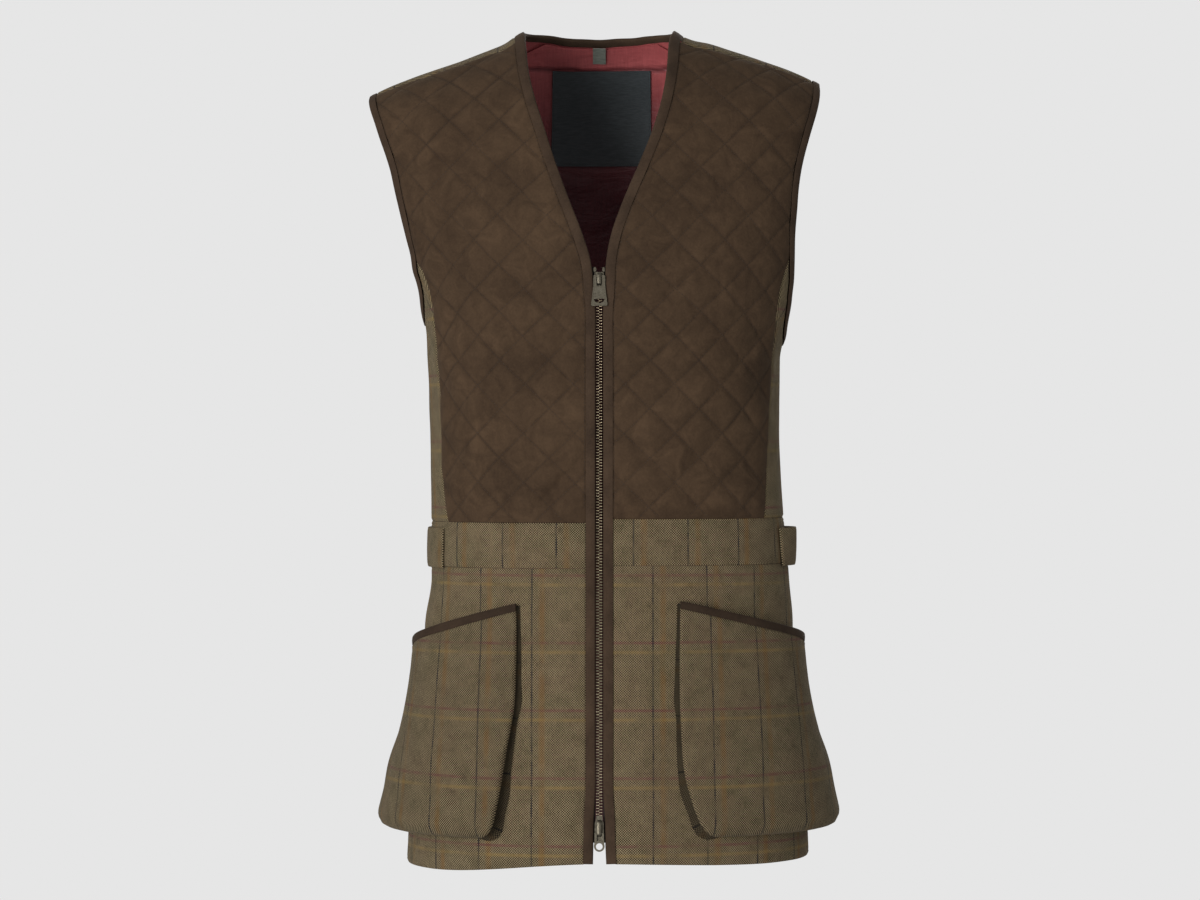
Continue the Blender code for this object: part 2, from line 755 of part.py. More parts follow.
def neck_cut():
    return offset(neck_edge, binding_width + seam_gap)


def back_skirt():
    outline = outline_of([
        back_line({RIGHT: hem_height, LEFT: hem_height}, 0.0),
        to_back(LEFT, offset(skirt_lines[LEFT], -half_gap)),
        back_line(waist_top, -half_gap)[::-1],
        to_back(RIGHT, offset(skirt_lines[RIGHT], -half_gap))[::-1],
    ])
    make_wall("back_skirt", tweed, outline, back_chart, 0.0, -cloth_wall, 0.025, lining_spacing)


def bindings(side):
    """The front's binding up to the shoulder seam, and the armhole's, which closes on itself."""
    free, inner = centres[side], centre_insides[side]
    seam = shoulder_line(side, False) - (0, half_gap)
    kept = [i for i, (run, level) in enumerate(free) if level < np.interp(run, seam[:, 0], seam[:, 1])]
    last = kept[-1]
    strips = []
    for line in (free, inner):
        end = None
        for i in range(len(line) - 1):
            for j in range(len(seam) - 1):
                met = crossing(line[i], line[i + 1], seam[j], seam[j + 1])
                if met:
                    end = line[i] + met[0] * (line[i + 1] - line[i])
        strips.append(np.concatenate([line[1:last], [end]]))
    make_ribbon(
        "front_binding_" + side_name[side], binding_suede, strips[0], strips[1],
        front_chart(side), bound_profile,
    )
    make_ribbon(
        "armhole_binding_" + side_name[side], binding_suede,
        armholes[side][:-1], armhole_insides[side][:-1],
        front_chart(side), bound_profile, closed=True,
    )


def neck_binding():
    free, inner = neck_edge, offset(neck_edge, binding_width)
    strips = []
    for line in (free, inner):
        line = line.copy()
        for side, ends in ((LEFT, range(0, 8)), (RIGHT, range(len(line) - 8, len(line)))):
            seam = shoulder_line(side, True) - (0, half_gap)
            for i in ends:
                for j in range(len(seam) - 1):
                    if i + 1 < len(line):
                        met = crossing(line[i], line[i + 1], seam[j], seam[j + 1])
                        if met:
                            end = line[i] + met[0] * (line[i + 1] - line[i])
                            if side == LEFT:
                                first = (i, end)
                            else:
                                last = (i, end)
        strips.append((line, first, last))
    start = max(strip[1][0] for strip in strips) + 1
    stop = min(strip[2][0] for strip in strips)
    lines = [
        np.concatenate([[first[1]], line[start : stop + 1], [last[1]]]) for line, first, last in strips
    ]
    make_ribbon("neck_binding", binding_suede, lines[0], lines[1], back_chart, bound_profile)


def back_lining():
    """The lining inside the back, from below the neck binding to above the hem."""
    sides, arms, shoulders = {}, {}, {}
    for side in (LEFT, RIGHT):
        levels = np.linspace(hem_height, -0.200, 22)
        sides[side] = to_back(side, [(arc_of(side, lining_turn, level), level) for level in levels])
        arms[side] = to_back(side, offset(back_arm(side), -2 * seam_gap))
        ridge = []
        for distance in np.linspace(0.035, 0.222, 20):
            level = float(level_at(side, distance, ridge_height[side](distance) - lining_drop))
            ridge.append((arc_of(side, turn_at(side, distance, level, True), level), level))
        shoulders[side] = to_back(side, ridge)
    hem = hem_height + lining_hem
    outline = outline_of([
        back_line({RIGHT: hem, LEFT: hem}, 0.0),
        sides[LEFT],
        arms[LEFT],
        shoulders[LEFT][::-1],
        offset(neck_edge, binding_width + 2 * seam_gap),
        shoulders[RIGHT],
        arms[RIGHT][::-1],
        sides[RIGHT][::-1],
    ])
    inner = lining_out - lining_wall
    make_wall("back_lining", lining, outline, back_chart, lining_out, inner, lining_spacing)


def patch(name, finish, across, heights, clear):
    """A flat-cut piece that lies on the back lining, between two distances and two heights."""
    low, high = heights
    rows = max(2, round((high - low) / patch_spacing) + 1)
    columns = max(2, round((across[1] - across[0]) / patch_spacing) + 1)
    out = lining_out - lining_wall - clear
    points = []
    for height in np.linspace(low, high, rows):
        for x in np.linspace(across[0], across[1], columns):
            side = LEFT if x >= 0 else RIGHT
            level = float(level_at(side, abs(x), height))
            points.append((side * turn_at(side, abs(x), level, True), level))
    angles, levels = np.array(points).T
    bm = bmesh.new()
    layers = [[bm.verts.new(p) for p in place(angles, levels, o)] for o in (out, out - patch_wall)]
    for r in range(rows - 1):
        for c in range(columns - 1):
            corner = r * columns + c
            ring = (corner, corner + 1, corner + columns + 1, corner + columns)
            for layer in layers:
                bm.faces.new([layer[i] for i in ring])
    rim = list(range(columns)) + [r * columns + columns - 1 for r in range(1, rows)]
    rim += [(rows - 1) * columns + c for c in range(columns - 2, -1, -1)]
    rim += [r * columns for r in range(rows - 2, 0, -1)]
    for k, i in enumerate(rim):
        j = rim[(k + 1) % len(rim)]
        bm.faces.new([layers[0][i], layers[0][j], layers[1][j], layers[1][i]])
    add_bmesh(name, bm, finish)


def label_cloth(name):
    return material(name, (0.012, 0.018, 0.020), 0.6)


def size_cloth(name):
    return material(name, (0.060, 0.070, 0.065), 0.7)


belt_turn = {RIGHT: math.radians(-66.5), LEFT: math.radians(74.5)}  # where the belt's ends lie
belt_heights = {RIGHT: (-0.4952, -0.4598), LEFT: (-0.4941, -0.4601)}
belt_wall = 0.0026
belt_rest, belt_ease = 0.0004, 0.0030  # how far it stands off, at its ends and elsewhere
belt_lift = 0.018  # the length over which it lifts off
belt_hump = {RIGHT: (-0.0022, -0.0022), LEFT: (0.0060, 0.0016)}  # at the side, its upper and lower edge
belt_hump_turn, belt_hump_reach = math.radians(82), 0.30
belt_camber = 0.0004  # how much rounder its middle is


def waist_belt():
    """The belt across the back, from one side's front to the other's, standing proud at the sides."""
    turns = np.concatenate([
        np.linspace(belt_turn[LEFT], math.pi / 2, 6)[:-1],
        np.linspace(math.pi / 2, math.pi * 1.5, 26),
        np.linspace(math.pi * 1.5, 2 * math.pi + belt_turn[RIGHT], 6)[1:],
    ])
    side = np.where(turns < math.pi, 1, -1)
    angles = np.where(turns < math.pi, turns, turns - 2 * math.pi)
    share = np.clip((math.pi - turns) / math.pi, -0.5, 0.5) + 0.5
    low = belt_heights[RIGHT][0] + (belt_heights[LEFT][0] - belt_heights[RIGHT][0]) * share
    high = belt_heights[RIGHT][1] + (belt_heights[LEFT][1] - belt_heights[RIGHT][1]) * share
    from_end = np.minimum(turns - turns[0], turns[-1] - turns) * fold_radius
    lifted = np.clip(from_end / belt_lift, 0, 1)
    proud = belt_rest + (belt_ease - belt_rest) * lifted
    hump = lifted * np.exp(-(((np.abs(angles) - belt_hump_turn) / belt_hump_reach) ** 2))
    top = proud + np.where(side > 0, belt_hump[LEFT][0], belt_hump[RIGHT][0]) * hump
    bottom = proud + np.where(side > 0, belt_hump[LEFT][1], belt_hump[RIGHT][1]) * hump
    middle = (low + high) / 2
    corners = (
        (high, top + belt_wall),
        (middle, (top + bottom) / 2 + belt_wall + belt_camber),
        (low, bottom + belt_wall),
        (low, bottom),
        (middle, (top + bottom) / 2),
        (high, top),
    )
    loft("waist_belt", tweed, [place(angles, level, out) for level, out in corners])


# Pocket panels: the inner edge's distance from the centre line, and the mouth's slant to the side.
Pocket = namedtuple("Pocket", "height right left")
pocket_inner_edges = (
    Pocket(-0.515, 0.0738, 0.0722),
    Pocket(-0.560, 0.0728, 0.0712),
    Pocket(-0.605, 0.0730, 0.0707),
    Pocket(-0.663, 0.0803, 0.0722),
    Pocket(-0.692, 0.0842, 0.0765),
    Pocket(-0.720, 0.0885, 0.0855),
    Pocket(-0.750, 0.0940, 0.0980),
)
pocket_inner = by_side(pocket_inner_edges, "height")
mouth_inner = {RIGHT: -0.5265, LEFT: -0.5245}
mouth_outer = {RIGHT: -0.5650, LEFT: -0.5610}
mouth_sag = 0.0022
mouth_gape = 0.0045  # how much more the mouth stands off in its middle
pocket_bottom = {RIGHT: -0.7360, LEFT: -0.7345}
pocket_turn = math.radians(95)
pocket_wall = 0.0018
pocket_corner = 0.019
pocket_binding_width = 0.0066
# How far the panel stands off the skirt, at its inner and its outer end.
stand_at_mouth = (0.0070, 0.0078)
stand_at_bottom = {RIGHT: (0.0230, 0.0325), LEFT: (0.0230, 0.0340)}
stand_belly = 0.0035
stand_curve = 1.4  # the panel opens out slowly at first, going down
belly_share = 1.2  # the belly ends this much above the bottom
# The three sewn edges round over: the radius at the inner edge, the bottom and the outer edge.
rim_radii = (0.0045, 0.0150, 0.0100)
rim_roundness = 0.85
rim_at_mouth = 0.3  # the share of the rounding that is left at the mouth
stand_least = 0.0058
gusset_low = 0.0010  # the bellows ends this far off the skirt
gusset_inset = 0.0008
gusset_cloth = 0.0017  # measured across the pocket, so that the slanted pleat is about 1.2 mm thick
gusset_pleat = 0.009
gusset_pleat_share = 0.45  # or this share of its depth, where it is shallow
gusset_clear = 0.0012  # its rim lies this far behind the panel
gusset_mouth_clear = 0.0005  # and this much further at the mouth


def pocket_sides(side):
    """The pocket's inner edge, bottom and outer edge as flat lines that run past their corners."""
    inner = []
    for height in np.linspace(mouth_inner[side] + 0.02, pocket_bottom[side] - 0.01, 14):
        distance = float(pocket_inner[side](height))
        inner.append((arc_of(side, turn_at(side, distance, height), height), height))
    bottom = level_line(pocket_bottom[side], 0.06, 0.33, 19)
    heights = np.linspace(pocket_bottom[side] - 0.01, mouth_outer[side] + 0.03, 13)
    outer = np.array([(arc_of(side, pocket_turn, height), height) for height in heights])
    return np.array(inner), bottom, outer


def mouth_line(side):
    """The pocket's mouth, slanted down to the side, as a flat line that runs past both edges."""
    first = arc_of(side, turn_at(side, 0.074, mouth_inner[side]), mouth_inner[side])
    last = arc_of(side, math.radians(90), mouth_outer[side])
    share = np.linspace(-0.12, 1.2, 15)
    levels = mouth_inner[side] + (mouth_outer[side] - mouth_inner[side]) * share
    levels -= mouth_sag * np.sin(math.pi * np.clip(share, 0, 1))
    return np.stack([first + (last - first) * share, levels], axis=1)


def softened(outline, corners, radius):
    """The outline with the points near each corner moved onto a round of a radius."""
    found = []
    for point in outline:
        moved = np.array(point)
        for corner, inward in corners:
            centre = corner + radius * inward
            away = moved - centre
            if (away * inward < 0).all() and np.linalg.norm(away) > radius:
                moved = centre + away * radius / np.linalg.norm(away)
        found.append(moved)
    return np.array(found)


def pocket_outline(side, top):
    """The panel's outline from the mouth down its inner edge, along the bottom and up the outer edge."""
    inner, bottom, outer = pocket_sides(side)
    outline = outline_of([inner, bottom, outer, top[::-1]])
    low = pocket_bottom[side]
    inner_corner = np.array([np.interp(-low, -inner[:, 1], inner[:, 0]), low])
    outer_corner = np.array([np.interp(low, outer[:, 1], outer[:, 0]), low])
    dense = []
    for i, point in enumerate(outline):
        after = outline[(i + 1) % len(outline)]
        middle = (point + after) / 2
        near = min(np.linalg.norm(middle - inner_corner), np.linalg.norm(middle - outer_corner))
        parts = 4 if near < pocket_corner else 1
        dense.extend(point + (after - point) * k / parts for k in range(parts))
    corners = ((inner_corner, np.array([1.0, 1.0])), (outer_corner, np.array([-1.0, 1.0])))
    return softened(np.array(dense), corners, pocket_corner)


def pocket_stand(side, flat):
    """How far the pocket panel's outer face stands off the skirt."""
    run, level = flat[:, 0], flat[:, 1]
    inner = np.array([arc_of(side, turn_at(side, float(pocket_inner[side](z)), z), z) for z in level])
    outer = np.array([arc_of(side, pocket_turn, z) for z in level])
    share = np.clip((run - inner) / (outer - inner), 0, 1)
    mouth = mouth_inner[side] + (mouth_outer[side] - mouth_inner[side]) * share
    down = np.clip((mouth - level) / (mouth - pocket_bottom[side]), 0, 1)
    at_mouth = stand_at_mouth[0] + (stand_at_mouth[1] - stand_at_mouth[0]) * share
    at_mouth += mouth_gape * np.sin(math.pi * share)
    low = stand_at_bottom[side]
    at_bottom = low[0] + (low[1] - low[0]) * share
    stand = at_mouth + (at_bottom - at_mouth) * down**stand_curve
    belly = np.sin(math.pi * np.clip(down * belly_share, 0, 1))
    stand += stand_belly * np.sin(math.pi * share) * belly
    fullness = rim_roundness * (rim_at_mouth + (1 - rim_at_mouth) * down)
    for away, radius in zip((run - inner, level - pocket_bottom[side], outer - run), rim_radii):
        left = np.clip(1 - away / radius, 0, 1)
        stand -= radius * (1 - np.sqrt(1 - left**2)) * fullness
    return np.maximum(stand, stand_least)


def pocket(side):
    mouth = mouth_line(side)
    outline = pocket_outline(side, offset(mouth, -(pocket_binding_width + seam_gap)))
    make_wall(
        "pocket_" + side_name[side], tweed, outline, front_chart(side),
        lambda flat: pocket_stand(side, flat), lambda flat: pocket_stand(side, flat) - pocket_wall,
        0.0165,
    )
    pocket_binding(side, mouth)
    gusset(side, mouth)


def pocket_binding(side, mouth):
    """The binding that wraps the panel's upper edge, from its inner edge to its outer edge."""
    inner_edge, _, outer_edge = pocket_sides(side)
    lines, spans = [], []
    for line in (mouth, offset(mouth, -pocket_binding_width)):
        first, start = meeting(line, inner_edge)
        last, end = meeting(line, outer_edge)
        lines.append((line, start, end))
        spans.append((first, last))
    first = max(span[0] for span in spans) + 1
    last = min(span[1] for span in spans)
    free, inner = [np.concatenate([[start], line[first : last + 1], [end]]) for line, start, end in lines]
    profile = (
        (0.0, 0.0005),
        (0.5, 0.0008),
        (1.0, 0.0003),
        (1.0, -pocket_wall - 0.0003),
        (0.5, -pocket_wall - 0.0007),
        (0.0, -pocket_wall - 0.0005),
    )
    make_ribbon(
        "pocket_binding_" + side_name[side], binding_suede, free, inner, front_chart(side), profile,
        base=pocket_stand(side, (free + inner) / 2),
    )


def meeting(line, other):
    """The number of the line's segment that meets the other line, and the point."""
    for i in range(len(line) - 1):
        for j in range(len(other) - 1):
            met = crossing(line[i], line[i + 1], other[j], other[j + 1])
            if met:
                return i, line[i] + met[0] * (line[i + 1] - line[i])
    raise ValueError("two lines do not meet")


def gusset(side, mouth):
    """The bellows: a wall with one inward pleat, from inside the panel's rim to the skirt."""
    top = mouth[[0, -1]] - (0, mouth_sag)
    line = pocket_outline(side, top)
    # The outline's last stretch is the mouth, where the bellows is open.
    inward = offset(line, 1.0) - line
    below = np.interp(line[:, 0], mouth[:, 0], mouth[:, 1]) - line[:, 1]
    near_mouth = np.clip(2 - below / pocket_binding_width, 0, 1)
    high = pocket_stand(side, line) - pocket_wall - gusset_clear - gusset_mouth_clear * near_mouth
    middle = (gusset_low + high) / 2
    pleat = np.minimum(gusset_pleat, (high - gusset_low) * gusset_pleat_share)
    far = gusset_inset + gusset_cloth
    columns = []
    for inset, out in (
        (gusset_inset, high), (gusset_inset + pleat, middle), (gusset_inset, gusset_low),
        (far, gusset_low), (far + pleat, middle), (far, high),
    ):
        flat = line + inward * np.broadcast_to(inset, len(line))[:, None]
        outs = np.broadcast_to(out, len(line))
        columns.append(place(front_chart(side)(flat), flat[:, 1], outs))
    loft("pocket_gusset_" + side_name[side], tweed, columns)


# The zip, in depths from the fronts' outer face.
tape_outs = (-0.0034, -0.0042)
tape_run = (0.0034, 0.0135)
tape_levels = (-0.7385, -0.2235)
stop_outs = (-0.0010, -0.0031)
stop_run = (0.0027, 0.0050)
stop_levels = (-0.2281, -0.2240)
chain_outs = (-0.0025, -0.0051)
chain_half_width = 0.0029
chain_levels = (-0.7338, -0.2316)


def dark_brass(name):
    return material(name, (0.200, 0.160, 0.095), 0.5, 1.0)


def tape_cloth(name):
    return material(name, (0.030, 0.022, 0.015), 0.9)


def zip_strip(name, finish, runs, outs, ends, count):
    """A strip down the front between two signed distances from the centre line."""
    levels = np.linspace(*ends, count)
    columns = []
    for distance, out in (
        (runs[0], outs[0]), (runs[1], outs[0]), (runs[1], outs[1]), (runs[0], outs[1])
    ):
        angles = [math.copysign(turn_at(LEFT, abs(distance), z), distance) for z in levels]
        columns.append(place(np.array(angles), levels, np.full(count, out)))
    return loft(name, finish, columns, smooth=False)


def local_frame(level):
    """At the zip: x across, y inward, z up along the cloth, at the fronts' outer face."""
    origin = Vector(place(0.0, level, 0.0))
    up = (Vector(place(0.0, level + 0.01, 0.0)) - Vector(place(0.0, level - 0.01, 0.0))).normalized()
    inward = up.cross(Vector((1, 0, 0))).normalized()
    across = Vector((1, 0, 0))
    turned = Matrix((across, inward, up)).transposed().to_4x4()
    return Matrix.Translation(origin) @ turned


def block(bm, x, out, z):
    """A box between two limits each way; out is measured outwards, so it is -y."""
    size = (x[1] - x[0], out[1] - out[0], z[1] - z[0])
    middle = ((x[0] + x[1]) / 2, -(out[0] + out[1]) / 2, (z[0] + z[1]) / 2)
    bmesh.ops.create_cube(bm, size=1.0, matrix=Matrix.Translation(middle) @ Matrix.Diagonal((*size, 1.0)))


def joined(name, blocks, finish, frame):
    """Blocks fused into one solid by Boolean unions, at a local frame."""
    made = None
    for number, limits in enumerate(blocks):
        bm = bmesh.new()
        block(bm, *limits)
        mesh = bpy.data.meshes.new(f"{name}_{number}")
        bm.to_mesh(mesh)
        bm.free()
        piece = bpy.data.objects.new(mesh.name, mesh)
        if made is None:
            made = piece
            collection.objects.link(made)
            continue
        cutters.objects.link(piece)
        piece.hide_render = True
        piece.display_type = "WIRE"
        union = made.modifiers.new(f"join_{number}", "BOOLEAN")
        union.operation = "UNION"
        union.object = piece
        piece.matrix_world = frame
    made.name = name
    made.matrix_world = frame
    made.data.materials.append(finish(name + "_finish"))
    return made


slider_half_width = 0.0042
post_half_width = 0.0012
front_plate = (-0.0020, -0.0004)
rear_plate = (-0.0070, -0.0056)
flange_width, flange_depth = 0.0008, 0.0009  # the plates' turned edges
into_plate = 0.0006  # how far the post, flanges and bridge run into the plates
bridge_half_width = 0.0016
bridge_outs = (0.0031, 0.0042)
pull_outs = (0.0013, 0.0025)
pull_axis_out = 0.0019


def slider(name, frame, height, upper_leg, lower_leg, post):
    """A slider's two plates round the chain, its post and the bridge that the pull hangs from."""
    long = (-height / 2, height / 2)
    across = (-slider_half_width, slider_half_width)
    bridge = (-bridge_half_width, bridge_half_width)
    post_outs = (rear_plate[1] - into_plate, front_plate[0] + into_plate)
    blocks = [
        (across, front_plate, long),
        (across, rear_plate, long),
        ((-post_half_width, post_half_width), post_outs, post),
    ]
    for sign in (-1, 1):
        flange = sorted((sign * (slider_half_width - flange_width), sign * slider_half_width))
        blocks.append((flange, (front_plate[0] - flange_depth, front_plate[0] + into_plate), long))
        blocks.append((flange, (rear_plate[1] - into_plate, rear_plate[1] + flange_depth), long))
    for leg in (upper_leg, lower_leg):
        blocks.append((bridge, (front_plate[1] - into_plate, bridge_outs[1]), leg))
    blocks.append((bridge, bridge_outs, (lower_leg[0], upper_leg[1])))
    return joined(name, blocks, brass, frame)


def pull(name, frame, axis_z, outline, holes):
    """A pull tab: a flat outline with holes, its origin on the axis that it swings about."""
    bm = bmesh.new()
    rings = [outline] + holes
    flat, edges = [], []
    for ring in rings:
        start = len(flat)
        flat.extend(ring)
        edges.extend((start + i, start + (i + 1) % len(ring)) for i in range(len(ring)))
    verts, _, faces, _, _, _ = delaunay_2d_cdt([Vector(p) for p in flat], edges, [], 1, 1e-9)
    layers = []
    for out in pull_outs:
        layers.append([bm.verts.new((v.x, pull_axis_out - out, v.y)) for v in verts])
    inside_faces = []
    for face in faces:
        centre = np.mean([verts[i] for i in face], axis=0)[None]
        if not any(inside(np.array(hole), centre, 0.0)[0] for hole in holes):
            inside_faces.append(face)
    edge_use = {}
    for face in inside_faces:
        for layer in layers:
            bm.faces.new([layer[i] for i in face])
        for a, b in zip(face, face[1:] + face[:1]):
            edge_use.setdefault(frozenset((a, b)), []).append((a, b))
    for use in edge_use.values():
        if len(use) == 1:
            a, b = use[0]
            bm.faces.new([layers[0][a], layers[0][b], layers[1][b], layers[1][a]])
    made = add_bmesh(name, bm, brass, smooth=False)
    made.matrix_world = frame @ Matrix.Translation((0, -pull_axis_out, axis_z))
    return made


def arc_points(centre, radius, start, end, count):
    turns = np.radians(np.linspace(start, end, count))
    return [(centre[0] + radius * math.cos(t), centre[1] + radius * math.sin(t)) for t in turns]


def zip_parts():
    for side in (LEFT, RIGHT):
        tape = sorted(side * run for run in tape_run)
        stop = sorted(side * run for run in stop_run)
        zip_strip("zip_tape_" + side_name[side], tape_cloth, tape, tape_outs, tape_levels, 24)
        zip_strip("top_stop_" + side_name[side], brass, stop, stop_outs, stop_levels, 2)
    across = (-chain_half_width, chain_half_width)
    zip_strip("zip_chain", dark_brass, across, chain_outs, chain_levels, 24)

    top_frame = local_frame(-0.2350)
    slider("top_slider", top_frame, 0.0130, (0.0045, 0.0060), (-0.0055, -0.0040), (0.0040, 0.0062))
    tab = [(-0.0053, 0.0007), (-0.0053, -0.0085), (-0.0073, -0.0262), (-0.0066, -0.0270)]
    tab += [(-x, z) for x, z in tab[::-1]]
    slot = [(-0.0024, -0.0007), (-0.0024, -0.0090), (0.0024, -0.0090), (0.0024, -0.0007)]
    crescent = arc_points((0, -0.0188), 0.0056, 207, 333, 9) + [(0.0026, -0.0218), (-0.0026, -0.0218)]
    pull("top_pull", top_frame, 0.0026, tab, [slot, crescent])

    bottom_frame = local_frame(-0.7260)
    slider("bottom_slider", bottom_frame, 0.0230, (0.0065, 0.0078), (-0.0072, -0.0059), (-0.0106, -0.0085))
    ring = [(-0.0043, 0.0007), (-0.0043, -0.0070)] + arc_points((0, -0.0112), 0.0048, 165, 375, 15)
    ring += [(0.0043, -0.0070), (0.0043, 0.0007)]
    slot = [(-0.0022, -0.0007), (-0.0022, -0.0063), (0.0022, -0.0063), (0.0022, -0.0007)]
    hole = arc_points((0, -0.0114), 0.0030, 0, 330, 12)
    pull("bottom_pull", bottom_frame, -0.0044, ring, [slot, hole])


for side in (LEFT, RIGHT):
    upper_front(side)
    front_band(side, "waistband_", waist_bottom[side] + half_gap, waist_top[side] - half_gap, 0.02)
    front_band(side, "skirt_", hem_height, waist_bottom[side] - half_gap, 0.019)
    bindings(side)
    pocket(side)
back_upper()
back_skirt()
back_lining()
neck_binding()
waist_belt()
patch("neck_label", label_cloth, (-0.0462, 0.0504), (-0.1150, -0.0238), 0.0017)
patch("size_tab", size_cloth, (-0.0065, 0.0064), (-0.0165, -0.0035), 0.0021)
zip_parts()
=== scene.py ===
import json
import math
from collections import namedtuple

import bmesh
import bpy
import numpy as np
from mathutils import Matrix, Vector
from mathutils.geometry import delaunay_2d_cdt


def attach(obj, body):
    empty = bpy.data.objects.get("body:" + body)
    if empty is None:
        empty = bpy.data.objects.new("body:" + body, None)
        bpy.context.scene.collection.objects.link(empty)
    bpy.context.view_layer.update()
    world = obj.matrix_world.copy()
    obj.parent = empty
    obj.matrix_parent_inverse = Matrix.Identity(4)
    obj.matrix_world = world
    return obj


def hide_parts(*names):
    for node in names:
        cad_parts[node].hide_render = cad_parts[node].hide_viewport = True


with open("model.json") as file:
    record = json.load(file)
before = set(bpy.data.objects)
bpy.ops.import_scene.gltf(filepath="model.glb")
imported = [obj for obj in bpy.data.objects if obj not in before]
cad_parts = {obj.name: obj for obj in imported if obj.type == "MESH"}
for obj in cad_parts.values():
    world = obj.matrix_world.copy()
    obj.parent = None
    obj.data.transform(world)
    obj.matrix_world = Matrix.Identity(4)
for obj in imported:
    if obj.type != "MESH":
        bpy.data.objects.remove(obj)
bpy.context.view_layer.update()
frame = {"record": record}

# The dressed model of a sleeveless shooting vest, in metres, +Z up. The front faces -Y.
left, right = 1, -1  # the wearer's sides, as signs of x
sideName = {left: "left", right: "right"}
dice = np.random.default_rng(41)

# The garment's surface

shape = {
    "clothWall": 0.0022,
    "seamGap": 0.0003,
    "bindingWidth": 0.0082,
    "quiltWidth": 0.046,
    "quiltHeight": 0.044,
    "quiltRise": 0.0017,
    "hem": -0.7575,
    "hemDrop": {right: 0.0100, left: 0.0035},  # how much lower the hem hangs at the sides
    "hemDropRun": 0.17,
    "waistTop": {right: -0.4535, left: -0.4500},
    "waistBottom": {right: -0.4945, left: -0.4920},
    "sectionPower": 2.4,
    "skirtTurn": math.radians(97),
    "liningOut": -0.0043,
    "liningWall": 0.0010,
    "liningDrop": 0.012,
    "liningHem": 0.014,
    "liningTurn": math.radians(100),
}
halfGap = shape["seamGap"] / 2
bindingWidth = shape["bindingWidth"]
quiltSpacing = 1 / math.hypot(1 / shape["quiltWidth"], 1 / shape["quiltHeight"])

# Half widths and depths of the horizontal section at each height.
Section = namedtuple("Section", "height right left front back")
sections = (
    Section(-0.030, 0.2360, 0.2260, 0.098, 0.104),
    Section(-0.060, 0.2350, 0.2250, 0.100, 0.108),
    Section(-0.120, 0.2190, 0.2100, 0.108, 0.117),
    Section(-0.190, 0.1920, 0.1945, 0.121, 0.124),
    Section(-0.225, 0.1780, 0.1890, 0.125, 0.124),
    Section(-0.250, 0.1680, 0.1845, 0.127, 0.122),
    Section(-0.282, 0.1602, 0.1722, 0.126, 0.119),
    Section(-0.304, 0.1593, 0.1675, 0.125, 0.117),
    Section(-0.360, 0.1574, 0.1671, 0.121, 0.111),
    Section(-0.450, 0.1562, 0.1712, 0.115, 0.103),
    Section(-0.505, 0.1560, 0.1760, 0.118, 0.106),
    Section(-0.550, 0.1620, 0.1792, 0.123, 0.112),
    Section(-0.600, 0.1624, 0.1794, 0.1275, 0.117),
    Section(-0.650, 0.1662, 0.1832, 0.132, 0.122),
    Section(-0.690, 0.1735, 0.1903, 0.135, 0.125),
    Section(-0.760, 0.1780, 0.1948, 0.140, 0.130),
)
Ridge = namedtuple("Ridge", "distance right left")  # the shoulder ridge's height
ridges = (
    Ridge(0.000, 0.0200, 0.0205),
    Ridge(0.030, 0.0165, 0.0175),
    Ridge(0.055, 0.0085, 0.0100),
    Ridge(0.070, 0.0010, 0.0010),
    Ridge(0.078, -0.0035, -0.0042),
    Ridge(0.088, -0.0105, -0.0080),
    Ridge(0.100, -0.0155, -0.0105),
    Ridge(0.125, -0.0255, -0.0185),
    Ridge(0.150, -0.0345, -0.0265),
    Ridge(0.175, -0.0435, -0.0350),
    Ridge(0.200, -0.0535, -0.0462),
    Ridge(0.214, -0.0602, -0.0540),
)
capAtNeck, capAtTip = 0.110, 0.058  # height over which the shoulder rounds off
Edge = namedtuple("Edge", "height right left")  # distances from the centre line
frontEdges = (
    Edge(0.000, 0.0700, 0.0690),
    Edge(-0.010, 0.0685, 0.0650),
    Edge(-0.042, 0.0645, 0.0617),
    Edge(-0.070, 0.0580, 0.0565),
    Edge(-0.098, 0.0492, 0.0483),
    Edge(-0.127, 0.0400, 0.0369),
    Edge(-0.162, 0.0273, 0.0220),
    Edge(-0.200, 0.0130, 0.0092),
    Edge(-0.224, 0.0066, 0.0056),
    Edge(-0.243, 0.0050, 0.0048),
    Edge(-0.262, 0.0034, 0.0034),
    Edge(-0.704, 0.0034, 0.0034),
    Edge(-0.713, 0.0050, 0.0050),
    Edge(-0.740, 0.0052, 0.0054),
    Edge(-0.758, 0.0056, 0.0062),
)
armholeEdges = (
    Edge(-0.048, 0.2134, 0.2045),
    Edge(-0.060, 0.2132, 0.2040),
    Edge(-0.070, 0.2125, 0.2020),
    Edge(-0.082, 0.2084, 0.1988),
    Edge(-0.105, 0.2006, 0.1917),
    Edge(-0.128, 0.1926, 0.1858),
    Edge(-0.151, 0.1870, 0.1820),
    Edge(-0.173, 0.1815, 0.1801),
    Edge(-0.195, 0.1760, 0.1786),
    Edge(-0.225, 0.1700, 0.1783),
    Edge(-0.300, 0.1690, 0.1780),
)
armhole = {
    "bottom": {right: -0.2635, left: -0.2820},
    "turn": {right: -0.2250, left: -0.2350},  # where the edge starts its turn under the arm
    "backInset": 0.005,
    "tip": {right: 0.2134, left: 0.2045},
}
sideSeams = (
    Edge(-0.4540, 0.1380, 0.1505),
    Edge(-0.410, 0.1442, 0.1540),
    Edge(-0.350, 0.1460, 0.1565),
    Edge(-0.300, 0.1475, 0.1590),
    Edge(-0.275, 0.1508, 0.1612),
    Edge(-0.250, 0.1535, 0.1638),
    Edge(-0.235, 0.1572, 0.1668),
    Edge(-0.219, 0.1655, 0.1722),
    Edge(-0.200, 0.1800, 0.1780),
)
Drop = namedtuple("Drop", "distance drop")  # how far the shoulder seam lies below the ridge
